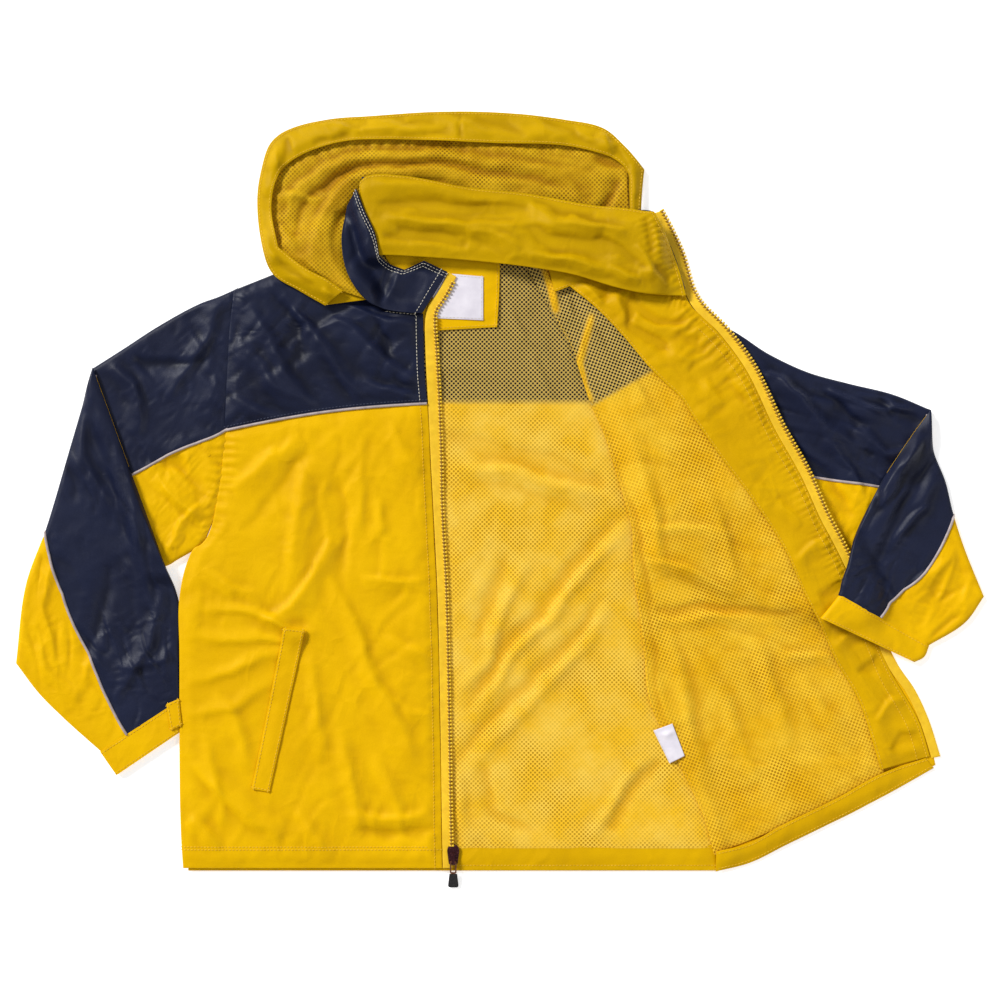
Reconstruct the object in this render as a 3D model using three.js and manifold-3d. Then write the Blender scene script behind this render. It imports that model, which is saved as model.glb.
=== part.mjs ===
// A child's raincoat, laid flat on a table with its wearer's left front turned open.
// Millimetres: X runs across the coat, Y towards the hood, Z up from the table.
import * as THREE from 'three';
import { mergeVertices } from 'three/addons/utils/BufferGeometryUtils.js';
import Module from 'manifold-3d';

const wasm = await Module();
wasm.setup();

// Cloth
const SHELL = 1.2;        // coated shell cloth, with its seam allowances
const MESH = 1.0;         // mesh lining, labels and zip tape
const GAP = 0.3;          // clearance at a seam and between two layers
const PIPING = 2.4;       // width of the piping cord in a seam
const PIPING_RISE = 0.6;  // how far the piping stands above its seam
const LOFT = 5;           // height of an empty sleeve that lies flat

// Materials: colour, roughness and metalness of each finish
const FINISHES = {
  yellow_shell: { color: 0xeabb08, roughness: 0.5, metalness: 0 },
  navy_shell: { color: 0x262a42, roughness: 0.5, metalness: 0 },
  mesh_lining: { color: 0xf2c233, roughness: 0.8, metalness: 0 },
  piping: { color: 0xb0a096, roughness: 0.45, metalness: 0 },
  zip_tape: { color: 0xeabb08, roughness: 0.7, metalness: 0 },
  label: { color: 0xebe4ee, roughness: 0.6, metalness: 0 },
  slider_metal: { color: 0x3c1419, roughness: 0.35, metalness: 0.8 },
  pull_tab: { color: 0x1c1a1c, roughness: 0.5, metalness: 0 },
};

// A section runs from x0, y0 to x1, y1. Its middle stands bow to the left of that line, the most
// of it at the fraction peak of its length. On a sleeve, seam is the fraction where two cloths meet.
const sections = (...rows) => rows.map(([x0, y0, x1, y1, bow = 0, peak = 0.5]) => (
  { x0, y0, x1, y1, bow, peak }));
const sleeveSections = (...rows) => rows.map(([x0, y0, x1, y1, seam, bow = 0, peak = 0.5]) => (
  { x0, y0, x1, y1, seam, bow, peak }));
// A fold is a soft ridge from x0, y0 to x1, y1.
const folds = (...rows) => rows.map(([x0, y0, x1, y1, height, width]) => ({ x0, y0, x1, y1, height, width }));

const YOKE_BOW = 4.5; // how far the yoke seam arches above a straight line

// Back
const BACK_YOKE = sections(
  [-139, 222, 25, 208.5], [-180, 209, 36, 194], [-235.5, 187, 43, 183], [-238.5, 152.5, 58.5, 151.5],
  [-241.5, 121, 75, 115], [-243, 89.5, 83, 88]);
const BACK_BODY = sections(
  [-243, 88.5, 83.5, 86.5], [-244.5, 62.5, 95, 61.5], [-246.5, 27.5, 106, 27.5], [-250, 5, 113, 5],
  [-259, -32, 121.5, -27.5], [-270.5, -44.5, 122, -44.5], [-277, -56, 122.5, -60],
  [-281.5, -72.5, 124, -77], [-284, -95, 127, -95], [-284, -135.5, 132, -135.5],
  [-284, -180.5, 137, -180.5], [-284, -230, 160, -230], [-283.5, -293, 189, -293],
  [-281.5, -330, 194.5, -330]);
const NECK_PATCH = sections([-90, 217.5, 0, 212], [-86, 188.5, -0.5, 188.5], [-81, 151, -2.5, 155.5]);
const NECK_LABEL = sections([-60, 205, -15, 201], [-61, 163.5, -15, 161.5]);
const BACK_LINING_END = [-281, -312, 191.5, -312];
// How far the lining lies inside its shell; at the neck, above neckFrom, also lower.
const LINING_INSET = { outer: 1, inner: 0.5, neck: 2, neckFrom: 180 };
const BACK_HEM = { top: { x0: -281, y0: -312.6, x1: 194, y1: -312.6, bow: 0 }, depth: 21.4 };

// Wearer's right front, closed over the back
const RIGHT_YOKE = sections(
  [-237.5, 189.5, -144, 226.5], [-238.5, 179.5, -135, 202], [-240, 166, -117.5, 178.5],
  [-241.5, 152.5, -100.5, 171.5], [-242, 142.5, -69, 167.5], [-243, 125.5, -68.5, 139],
  [-244.5, 94, -67.5, 112], [-245.5, 64.5, -65.5, 88.5, YOKE_BOW]);
const RIGHT_BODY = sections(
  [-245.5, 61.2, -65.2, 85.2, YOKE_BOW], [-247.5, 44.5, -63.7, 60.8, 2], [-249, 27.5, -62.8, 35.5],
  [-252.5, 5, -61.4, 8.5], [-261.5, -32, -59.6, -29], [-268, -40, -59.2, -40], [-274, -43.5, -58.5, -51],
  [-279.5, -54.5, -57.8, -63.5], [-284, -69.5, -57, -81.5], [-287.5, -93, -56.3, -104],
  [-287, -135.5, -55.1, -140], [-287, -180.5, -54.5, -180.5], [-287, -230, -53.5, -231.5],
  [-286, -293, -52.7, -294.5], [-284, -331.5, -52, -331.5]);
const RIGHT_TAPE = sections(
  [-46.3, 205, -39, 200.5], [-56.3, 186, -49, 181.5], [-64.4, 174.4, -57, 169], [-67, 163.5, -57.8, 160],
  [-67.2, 139, -56.5, 139], [-64.8, 88.5, -53.8, 88.5], [-62.3, 35.5, -52, 35.5],
  [-60.4, -0.5, -51.5, -0.5], [-56.4, -81.5, -47.5, -81.5], [-54, -180.5, -45.2, -180.5],
  [-52, -311, -43, -311], [-51.5, -331.5, -42.5, -331.5]);
const WELT = sections([-194, -114.5, -175, -116.5], [-207.5, -183, -189.5, -183], [-223, -259.5, -207, -262.5]);
const RIGHT_BODY_FOLDS = folds(
  [-155, -40, -201, -104, 5, 26], [-150, -78, -94, -193, 6, 28], [-94, -193, -70, -242, 4, 26],
  [-122, -74, -70, -74, 3, 24], [-277, -238, -196, -306, 6, 28], [-230, 30, -190, -70, 3.5, 30],
  [-250, -120, -215, -240, 3.5, 30], [-140, -215, -120, -300, 3.5, 28], [-210, -150, -185, -230, 2, 24]);
const RIGHT_YOKE_FOLDS = folds([-222, 160, -165, 95, 4, 26], [-125, 135, -90, 98, 3, 24]);

// Collar: from its seam to its top edge
const COLLAR_RIGHT = sections(
  [-69.1, 168.8, -47, 204.8], [-83.5, 169.5, -68, 214], [-100.5, 172, -86, 207], [-109.5, 175, -99.5, 212],
  [-117.5, 178.8, -107.8, 218.5], [-134.8, 202.2, -111.5, 238], [-141, 233.5, -121, 259],
  [-136.5, 265, -128.5, 278.5]);
const COLLAR_INSET = { seam: 0.5, edge: 1.5 }; // how far the inner collar lies inside the outer one
const COLLAR_BACK = sections(
  [-104, 223, -124, 289.5, 4], [-72, 220.5, -90, 290], [-18, 216.5, -27.5, 279], [27, 211.5, 25.5, 273.5],
  [65, 206.5, 78.5, 264], [106, 196.5, 117, 260.5], [130.5, 191.5, 131, 260], [166, 190, 138, 259.5, 3]);
const COLLAR_FOLDS = folds(
  [-95, 262, 20, 255, 3, 20], [30, 240, 100, 225, 4, 20], [60, 255, 110, 200, 3, 20],
  [118, 250, 150, 200, 3, 18]);

// Hood, lying open with its lining up: sections run from its edge to the neck
const BRIM = sections(
  [-156.5, 174, -140, 187], [-180, 187.5, -153.5, 196.5], [-204, 203, -174.5, 207.5],
  [-213, 225.5, -198.5, 226.5], [-218.5, 269.5, -205, 265], [-214, 301, -197, 295], [-207, 321, -189, 303],
  [-195, 331.5, -171, 313], [-156.5, 342.5, -139, 322], [-114, 346, -108.5, 323.5],
  [-57.5, 349.7, -57.5, 322.5], [0, 349, 0, 320], [59.5, 342.5, 59.5, 318], [94, 334.5, 85.5, 308.5],
  [112.5, 318, 103, 305.5], [130, 297.5, 114.5, 295.5], [128, 278.5, 103, 280.5], [126, 259, 92, 262.5],
  [129, 224.5, 99, 224.5], [126, 201, 101, 203]);
const HOOD_LINING = sections(
  [-139.4, 186.8, -119.5, 180.5], [-152.8, 196.2, -127.5, 193], [-173.8, 207.6, -137.5, 208.5],
  [-197.8, 226.4, -143, 229], [-204.3, 264.8, -141, 258], [-196.3, 294.5, -126, 256],
  [-188.4, 302.2, -112.5, 241], [-170.4, 312.3, -99, 226.5], [-138.6, 321.3, -85.5, 223.5],
  [-108.3, 322.8, -67.5, 223], [-57.4, 321.8, -45, 221], [0, 319.3, -4.5, 216.5], [59.2, 317.3, 36, 212],
  [85, 307.6, 63, 208.5], [101.8, 304.4, 77, 206], [97, 281, 82, 205, -4]);
const HOOD_SIDE_RIGHT = sections(
  [-155.5, 175, -120, 180], [-179, 188.5, -129, 194], [-203, 204, -138, 210], [-212, 225.5, -142.5, 230],
  [-217.5, 269.5, -141, 258], [-213, 300, -124, 256], [-206, 320, -109.5, 241], [-194, 330.5, -97, 226.5],
  [-155.5, 341.5, -84, 223.5], [-113, 345, -66, 223], [-57.5, 348.7, -45.5, 221],
  [-38.6, 348.7, -38.6, 220.5]);
const HOOD_SIDE_LEFT = sections(
  [-37.4, 348.7, -37.4, 220], [0, 348, -4.5, 216.5], [59.5, 341.5, 36, 212], [93, 333.5, 63, 208.5],
  [111.5, 317, 83, 206], [129, 297, 90, 205.5], [127, 278.5, 94, 205], [125, 259, 97, 204],
  [128, 224.5, 99, 203], [125, 202, 101, 202]);
const HOOD_FOLDS = folds(
  [-180, 285, -150, 205, 5, 24], [-165, 305, -60, 312, 5, 18], [-60, 312, 60, 300, 5, 18],
  [-150, 280, -100, 298, 4, 18], [-100, 298, 70, 288, 4, 18], [-190, 245, -170, 215, 4, 20],
  [-190, 300, -170, 280, 4, 18]);

// Wearer's left front, turned open with its inside up: sections run from the side seam to the zip
const LEFT_YOKE = sections(
  [28, 207.8, 166, 187, -3], [42.5, 186, 173, 174], [53, 165, 180, 166], [69, 134.5, 188, 159],
  [85, 88, 196, 151.3]);
const LEFT_BODY = sections(
  [86, 85.8, 197, 149.5], [97, 61.5, 208, 134.5], [108, 27.5, 232, 92.5], [115, 5, 246, 65.5],
  [123.5, -27.5, 270, 21.5], [124, -44.5, 286.5, -15], [124.5, -60, 303.5, -47], [126, -77, 315, -72.5],
  [129, -95, 327.5, -99], [134, -135.5, 338.5, -126.5], [139, -180.5, 351, -151.5],
  [162, -230, 366.5, -174], [191, -293, 385.5, -221], [196.5, -330, 390, -240, -8]);
const LEFT_LINING = sections(
  [42.5, 187, 60.5, 193], [48.5, 174, 85, 173], [58, 155, 111, 146], [69, 134.5, 134, 118.5],
  [78, 109, 162, 91.5], [86, 86, 172, 76], [97, 61.5, 190, 50], [108, 27.5, 216, 15], [115, 5, 231, -6],
  [123.5, -27.5, 246, -29], [124, -44.5, 255, -44.5], [124.5, -60, 262, -62], [126, -77, 270, -80],
  [129, -95, 279, -98], [134, -135.5, 299, -138], [139, -180.5, 322, -179], [162, -230, 336, -222],
  [189, -288, 342, -244], [196, -314.5, 342.5, -245.3, -4]);
const LEFT_FACING = sections(
  [43, 188.6, 31, 206.5], [61.8, 194, 65, 202], [86, 174.5, 99, 195.5], [112, 147.5, 135, 188],
  [135.3, 119.5, 164.5, 186], [149, 106, 172, 174], [163.2, 92.5, 180, 166], [173.3, 76.5, 195.5, 150.8],
  [197.5, 41, 219, 119.2], [226.3, 2.5, 245.5, 65.3], [256, -43.5, 270, 21.7], [272, -79.5, 286, -14.8],
  [289.3, -113.5, 303, -47.2], [303.7, -145, 327, -99.2], [323.5, -178.5, 350.5, -151.5],
  [338, -221.5, 378, -200.5], [344, -242.5, 387.5, -231]);
const LEFT_HEM = sections(
  [197.5, -315.5, 197.5, -334], [225, -308.5, 225, -327], [252, -293.5, 257.5, -311],
  [303.5, -268.3, 310.5, -285], [342, -246.8, 353, -263], [383.5, -232.5, 391, -241.5]);
const LEFT_TAPE = sections(
  [139, 258.7, 146, 261], [147, 243.5, 154, 246], [157.7, 219, 165, 222], [166.8, 188.6, 174, 191.3],
  [173.7, 174, 180.2, 178.7], [197.2, 150.4, 202.7, 155.3], [220, 119.3, 226, 124], [246.5, 65.2, 253, 69],
  [271, 21.5, 277.5, 25.7], [287.2, -15, 293.6, -11.2], [304.3, -47.4, 310.7, -43.6],
  [328.4, -99.4, 335, -96], [351.6, -151.8, 358.4, -148], [367.3, -174.3, 373.7, -170.5],
  [379.5, -200.8, 386.3, -197.5], [389.8, -232.6, 397, -231]);
const CARE_LABEL = sections([138, -207.5, 155, -201], [152.5, -237, 166, -230]);
const LINING_FOLDS = folds(
  [56, 150, 70, 105, 3, 20], [130, -95, 275, -95, 5, 22], [120, 60, 150, -70, 3, 24],
  [150, -115, 190, -260, 4, 26], [230, -120, 260, -220, 4, 26], [180, 20, 215, -70, 3, 24],
  [255, -140, 285, -150, 3, 20], [110, 120, 135, 75, 3, 22]);
const BACK_LINING_FOLDS = folds(
  [30, 150, 52, 85, 4, 24], [60, 60, 90, -80, 4, 28], [40, -60, 110, -200, 4, 28],
  [60, -220, 140, -320, 4, 28], [-20, 60, 20, -60, 3, 26], [-25, -150, 0, -290, 3, 26]);
const FACING_FOLDS = folds([185, 110, 200, 85, 3, 20], [250, 0, 268, -20, 3, 20], [150, 140, 172, 118, 3, 20]);

// Sleeves: an upper stretch from the armhole to the elbow crease, and a lower one that is folded
// back over its end. Sections run from the outer edge to the inner one.
const RIGHT_UPPER = sleeveSections(
  [-238.8, 189.5, -269.5, -40, 0.55, 10, 0.72], [-253.5, 183, -274.5, -44.5, 0.555, 6, 0.6],
  [-270, 177, -281, -48.5, 0.56, 2], [-308.5, 156, -291.5, -54.5, 0.55], [-337, 137.5, -297, -58, 0.545],
  [-366, 119, -304.5, -61, 0.54]);
const RIGHT_LOWER = sleeveSections(
  [-366, 119.5, -300.5, -60, 0.03], [-387, 48, -295, -72.5, 0.03], [-408.5, -24.5, -288.5, -95, 0.03],
  [-427, -76, -288, -111, 0.24], [-436, -147, -288.5, -128, 0.45], [-415.5, -174, -288.3, -144.5, 0.43],
  [-392, -197.5, -288, -166, 0.4], [-359, -227, -287.8, -180, 0.33]);
const RIGHT_CUFF = sections(
  [-359, -228.5, -287.8, -181.5], [-352.5, -238, -288, -196], [-345.5, -248, -288, -209]);
const LEFT_UPPER = sleeveSections(
  [94, 169, 126, -18.5, 0.5], [144, 163.5, 171, -41, 0.5], [202.5, 155.5, 216, -59, 0.49],
  [243, 131, 247.5, -72.5, 0.48], [277.5, 115, 270, -81.5, 0.47], [313.5, 105, 286.5, -85, 0.46],
  [354, 95, 297, -85, 0.45], [387, 81.5, 305, -81, 0.44]);
const LEFT_LOWER = sleeveSections(
  [387.5, 81.5, 316, -37.5, 0.03, -5], [390, 46.5, 313.5, -47, 0.03, -3], [401.5, 16, 311.5, -54.5, 0.03],
  [408, -11, 309.8, -60.5, 0.03], [418, -42.5, 307, -68, 0.22], [435.9, -87, 305, -75, 0.55],
  [419.5, -110, 304, -80.5, 0.6], [385.5, -131.5, 302.5, -85, 0.54]);
const LEFT_CUFF = sections([385.5, -133, 302.3, -86.5], [382, -141.5, 294.5, -96], [373, -146, 286.5, -105.5]);
const RIGHT_TAB = sections([-300, -183.5, -288.5, -178.5], [-296, -207, -286, -202.5]);

// Zip slider: a top plate with a bail over it, and the pull that hangs in the bail
const SLIDER = { x: -42.1, y: -319, width: 10.8, foot: 8, length: 18, plate: 1.5, corner: 1, shoulder: 6 };
const SKIRT = { inset: 0.6, length: 13, back: 0.5, overlap: 0.5 }; // the slider's half beside the tape
// The bail's front foot is straight, its back one leans. Shoulder is its rounded corner, across and up.
const BAIL = { width: 2.4, thickness: 1.1, inner: 3, front: -8.8, back: 2.6, sunk: 0.5, shoulder: [1.5, 1],
  heel: 1.5, hollow: 2.5 };
const PULL = { axisY: -325.2, axisRise: 1.7, wire: 1.3, width: 6, length: 11.6, tilt: 15.5, corner: 1.2,
  eyeCorner: 0.5 };
const TAB = { top: 7, bottom: 9.4, length: 12.8, thickness: 1.6, corner: 2 };

// Heights of what already lies on the table, in square cells
const CELL = 2;
const TABLE = { x: -464, y: -374, columns: 465, rows: 375 };
const SOFTEN = { cloth: 6, trim: 2 }; // how far a step in the layers below is softened
const tops = new Map();

function cellOf(x, y) {
  return [Math.round((x - TABLE.x) / CELL), Math.round((y - TABLE.y) / CELL)];
}

// Marks a surface in a piece's field of heights, one triangle after the other.
function recordTop(name, positions) {
  const field = tops.get(name) ?? new Float32Array(TABLE.columns * TABLE.rows);
  tops.set(name, field);
  const [a, b, c] = [new THREE.Vector3(), new THREE.Vector3(), new THREE.Vector3()];
  const point = new THREE.Vector3();
  for (let i = 0; i < positions.length; i += 9) {
    a.fromArray(positions, i);
    b.fromArray(positions, i + 3);
    c.fromArray(positions, i + 6);
    const steps = Math.ceil(Math.max(a.distanceTo(b), b.distanceTo(c), c.distanceTo(a)) / (CELL / 2)) + 1;
    for (let u = 0; u <= steps; u += 1) {
      for (let v = 0; v <= steps - u; v += 1) {
        point.copy(a).addScaledVector(b, u / steps).addScaledVector(c, v / steps)
          .addScaledVector(a, -(u + v) / steps);
        const [column, row] = cellOf(point.x, point.y);
        const k = row * TABLE.columns + column;
        field[k] = Math.max(field[k], point.z);
      }
    }
  }
}

// Runs over a field along X and then along Y, with the value that combine gives for each window.
function sweep(field, reach, combine) {
  const cells = Math.ceil(reach / CELL);
  let source = field;
  for (const [stride, count, lines, lineStride] of [
    [1, TABLE.columns, TABLE.rows, TABLE.columns], [TABLE.columns, TABLE.rows, TABLE.columns, 1]]) {
    const result = new Float32Array(field.length);
    for (let line = 0; line < lines; line += 1) {
      for (let i = 0; i < count; i += 1) {
        const low = Math.max(0, i - cells);
        const high = Math.min(count - 1, i + cells);
        result[line * lineStride + i * stride] = combine(source, line * lineStride, stride, low, high);
      }
    }
    source = result;
  }
  return source;
}

function highest(source, start, stride, low, high) {
  let best = 0;
  for (let i = low; i <= high; i += 1) best = Math.max(best, source[start + i * stride]);
  return best;
}

function mean(source, start, stride, low, high) {
  let sum = 0;
  for (let i = low; i <= high; i += 1) sum += source[start + i * stride];
  return sum / (high - low + 1);
}

// The height at which a cloth lies that rests on the named pieces, as a function of x and y.
function restingHeight(names, reach, soften = SOFTEN.cloth) {
  if (names.length === 0) return () => 0;
  const joined = new Float32Array(TABLE.columns * TABLE.rows);
  for (const name of names) {
    tops.get(name).forEach((z, k) => {
      if (z > 0) joined[k] = Math.max(joined[k], z + GAP);
    });
  }
  const soft = sweep(sweep(joined, reach + soften + 2 * CELL, highest), soften, mean);
  return (x, y) => {
    const fx = (x - TABLE.x) / CELL;
    const fy = (y - TABLE.y) / CELL;
    const [column, row] = [Math.floor(fx), Math.floor(fy)];
    const [u, v] = [fx - column, fy - row];
    const at = (c, r) => soft[r * TABLE.columns + c];
    return (at(column, row) * (1 - u) + at(column + 1, row) * u) * (1 - v)
      + (at(column, row + 1) * (1 - u) + at(column + 1, row + 1) * u) * v;
  };
}

const CORNER = Math.cos(THREE.MathUtils.degToRad(40)); // an edge that turns by more has a corner there

// The direction in which an edge leaves a point of its list, along the segment that starts at low.
function edgeDirection(points, k, low) {
  const chord = points[low + 1].clone().sub(points[low]).normalize();
  const before = points[k - 1];
  const after = points[k + 1];
  if (!before || !after) return chord;
  const arriving = points[k].clone().sub(before).normalize();
  const leaving = after.clone().sub(points[k]).normalize();
  return arriving.dot(leaving) < CORNER ? chord : arriving.add(leaving).normalize();
}

// A point of the smooth edge through a list of points, with its corners kept.
function edgePoint(points, low, part) {
  const [from, to] = [points[low], points[low + 1]];
  const length = from.distanceTo(to);
  const start = edgeDirection(points, low, low).multiplyScalar(length);
  const end = edgeDirection(points, low + 1, low).multiplyScalar(length);
  const [t, t2, t3] = [part, part * part, part ** 3];
  return from.clone().multiplyScalar(2 * t3 - 3 * t2 + 1).addScaledVector(start, t3 - 2 * t2 + t)
    .addScaledVector(to, -2 * t3 + 3 * t2).addScaledVector(end, t3 - t2);
}

// Adds sections between the given ones, on smooth edges through their ends.
function refine(rows, split) {
  const first = rows.map((row) => new THREE.Vector3(row.x0, row.y0, 0));
  const second = rows.map((row) => new THREE.Vector3(row.x1, row.y1, 0));
  const count = (rows.length - 1) * split;
  return Array.from({ length: count + 1 }, (_, i) => {
    const low = Math.min(Math.floor(i / split), rows.length - 2);
    const part = i / split - low;
    const blend = (key) => rows[low][key] * (1 - part) + rows[low + 1][key] * part;
    const [a, b] = [edgePoint(first, low, part), edgePoint(second, low, part)];
    return { x0: a.x, y0: a.y, x1: b.x, y1: b.y, bow: blend('bow'), peak: blend('peak'),
      seam: 'seam' in rows[0] ? blend('seam') : 0 };
  });
}

// The point at a fraction of a section.
function along(section, fraction) {
  const dx = section.x1 - section.x0;
  const dy = section.y1 - section.y0;
  const length = Math.hypot(dx, dy);
  const swing = fraction <= 0 || fraction >= 1 ? 0
    : section.bow * Math.sin(Math.PI * fraction ** (Math.log(0.5) / Math.log(section.peak)));
  return new THREE.Vector3(
    section.x0 + dx * fraction - dy / length * swing, section.y0 + dy * fraction + dx / length * swing, 0);
}

function foldRise(rows, x, y) {
  return rows.reduce((rise, fold) => {
    const [dx, dy] = [fold.x1 - fold.x0, fold.y1 - fold.y0];
    const length = Math.hypot(dx, dy);
    const t = ((x - fold.x0) * dx + (y - fold.y0) * dy) / length / length;
    const off = Math.abs((x - fold.x0) * dy - (y - fold.y0) * dx) / length / fold.width;
    if (t <= 0 || t >= 1 || off >= 1) return rise;
    return Math.max(rise, fold.height * (1 - off * off) ** 2 * Math.sin(Math.PI * t) ** 0.6);
  }, 0);
}

// A closed wall between two grids of points. A ring closes on itself round its sections.
function closedWall(outer, inner, isRing) {
  const positions = [];
  const triangle = (a, b, c) => positions.push(...a.toArray(), ...b.toArray(), ...c.toArray());
  const quad = (a, b, c, d) => {
    triangle(a, b, c);
    triangle(a, c, d);
  };
  const last = outer.length - 1;
  const width = outer[0].length;
  const steps = isRing ? width : width - 1;
  for (let i = 0; i < last; i += 1) {
    for (let j = 0; j < steps; j += 1) {
      const k = (j + 1) % width;
      quad(outer[i][j], outer[i + 1][j], outer[i + 1][k], outer[i][k]);
    }
  }
  const topCount = positions.length;
  for (let i = 0; i < last; i += 1) {
    for (let j = 0; j < steps; j += 1) {
      const k = (j + 1) % width;
      quad(inner[i][j], inner[i][k], inner[i + 1][k], inner[i + 1][j]);
    }
  }
  for (let j = 0; j < steps; j += 1) {
    const k = (j + 1) % width;
    quad(outer[0][j], outer[0][k], inner[0][k], inner[0][j]);
    quad(outer[last][j], inner[last][j], inner[last][k], outer[last][k]);
  }
  for (let i = 0; i < last && !isRing; i += 1) {
    quad(outer[i][0], inner[i][0], inner[i + 1][0], outer[i + 1][0]);
    quad(outer[i][width - 1], outer[i + 1][width - 1], inner[i + 1][width - 1], inner[i][width - 1]);
  }
  return { positions, topCount };
}

function signedVolume(positions) {
  const [a, b, c] = [new THREE.Vector3(), new THREE.Vector3(), new THREE.Vector3()];
  let sum = 0;
  for (let i = 0; i < positions.length; i += 9) {
    a.fromArray(positions, i);
    b.fromArray(positions, i + 3);
    c.fromArray(positions, i + 6);
    sum += a.dot(b.cross(c)) / 6;
  }
  return sum;
}

// Faces point outwards whichever way the sections run.
function wallGeometry(positions) {
  const outward = signedVolume(positions) > 0;
  const points = outward ? positions : positions.map((_, i) => {
    const corner = Math.floor(i / 3) % 3;
    const partner = corner === 0 ? i : (corner === 1 ? i + 3 : i - 3);
    return positions[partner];
  });
  const geometry = new THREE.BufferGeometry();
  geometry.setAttribute('position', new THREE.Float32BufferAttribute(points, 3));
  geometry.computeVertexNormals();
  return geometry;
}

const raincoat = new THREE.Group();

function addPiece(name, finish, geometry, parent = raincoat) {
  const mesh = new THREE.Mesh(geometry, new THREE.MeshStandardMaterial(FINISHES[finish]));
  mesh.name = name;
  parent.add(mesh);
  return mesh;
}

// The longest step between neighbouring points, along X or along Y.
function longestStep(plan) {
  let longest = 0;
  for (let i = 0; i + 1 < plan.length; i += 1) {
    for (let j = 0; j + 1 < plan[i].length; j += 1) {
      const corners = [plan[i][j], plan[i][j + 1], plan[i + 1][j], plan[i + 1][j + 1]];
      for (const p of corners) {
        for (const q of corners) longest = Math.max(longest, Math.abs(p.x - q.x), Math.abs(p.y - q.y));
      }
    }
  }
  return longest;
}

// A flat-cut cloth that lies on what is below it.
function addCloth(name, finish, rows, options = {}) {
  const { on = [], across = 4, split = 2, wall = SHELL, folded = [], puff = 0, soften = SOFTEN.cloth } = options;
  const cut = refine(rows, split);
  const fractions = Array.isArray(across) ? across : Array.from({ length: across + 1 }, (_, j) => j / across);
  const plan = cut.map((section) => fractions.map((fraction) => along(section, fraction)));
  const level = restingHeight(on, longestStep(plan), soften);
  const dome = (t) => 1 - (2 * t - 1) ** 4;
  const under = plan.map((points, i) => points.map((p, j) => new THREE.Vector3(p.x, p.y,
    level(p.x, p.y) + foldRise(folded, p.x, p.y) + puff * dome(i / (plan.length - 1)) * dome(fractions[j]))));
  const upper = under.map((points) => points.map((p) => new THREE.Vector3(p.x, p.y, p.z + wall)));
  const { positions, topCount } = closedWall(upper, under, false);
  recordTop(name, positions.slice(0, topCount));
  addPiece(name, finish, wallGeometry(positions));
}

// A point of a flattened sleeve. Turn is 0 at the outer edge and 0.5 at the inner one, over the top.
function sleevePoint(section, turn, inset, level) {
  const t = turn - Math.floor(turn);
  const overTop = t < 0.5;
  const fraction = overTop ? 2 * t : 2 - 2 * t;
  const width = Math.hypot(section.x1 - section.x0, section.y1 - section.y0);
  const outerPoint = along(section, fraction);
  const moved = along(section, THREE.MathUtils.lerp(inset / width, 1 - inset / width, fraction));
  const round = Math.sqrt(1 - Math.abs(2 * fraction - 1) ** 8);
  const half = (LOFT / 2 - inset) * round;
  const base = level(outerPoint.x, outerPoint.y) + LOFT / 2;
  return new THREE.Vector3(moved.x, moved.y, base + (overTop ? half : -half));
}

const evenly = (from, to, steps) => Array.from({ length: steps + 1 }, (_, i) => from + (to - from) * i / steps);
const UNDER_SEAM = 0.75; // the turn at which the two cloths of a sleeve meet underneath
const EDGE_TURNS = [0.03, 0.008]; // turns beside an edge that get a point, so that it bends round
const PAST_EDGE = [0.2, 0.45]; // shares of the way from the outer edge to the top seam that get one

// Turns from the top seam round the inner edge to the seam underneath.
function innerTurns(seam, steps) {
  const start = 0.5 - EDGE_TURNS[0];
  const end = 0.5 + EDGE_TURNS[0];
  const edge = [0.5 - EDGE_TURNS[1], 0.5, 0.5 + EDGE_TURNS[1]];
  return [...evenly(seam, start, steps), ...edge, ...evenly(end, UNDER_SEAM, steps)];
}

// Turns from the seam underneath round the outer edge to the top seam.
function outerTurns(seam, steps) {
  const start = 1 - EDGE_TURNS[0];
  const edge = [1 - EDGE_TURNS[1], 1, 1 + seam * PAST_EDGE[0]];
  const past = evenly(1 + seam * PAST_EDGE[1], 1 + seam, steps - 1);
  return [...evenly(UNDER_SEAM, start, steps), ...edge, ...past];
}

// A band of a sleeve between two turns, as a closed wall.
function addSleeveWall(name, finish, cut, turnsOf, level, outside, inside, isRing = false) {
  const gridAt = (inset) => cut.map((section) => (
    turnsOf(section).map((turn) => sleevePoint(section, turn, inset, level))));
  const { positions } = closedWall(gridAt(outside), gridAt(inside), isRing);
  recordTop(name, positions);
  addPiece(name, finish, wallGeometry(positions));
}

function sleeveLevel(cut, turnsOf, on) {
  const plan = cut.map((section) => turnsOf(section).map((turn) => sleevePoint(section, turn, 0, () => 0)));
  return restingHeight(on, longestStep(plan));
}

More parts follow.
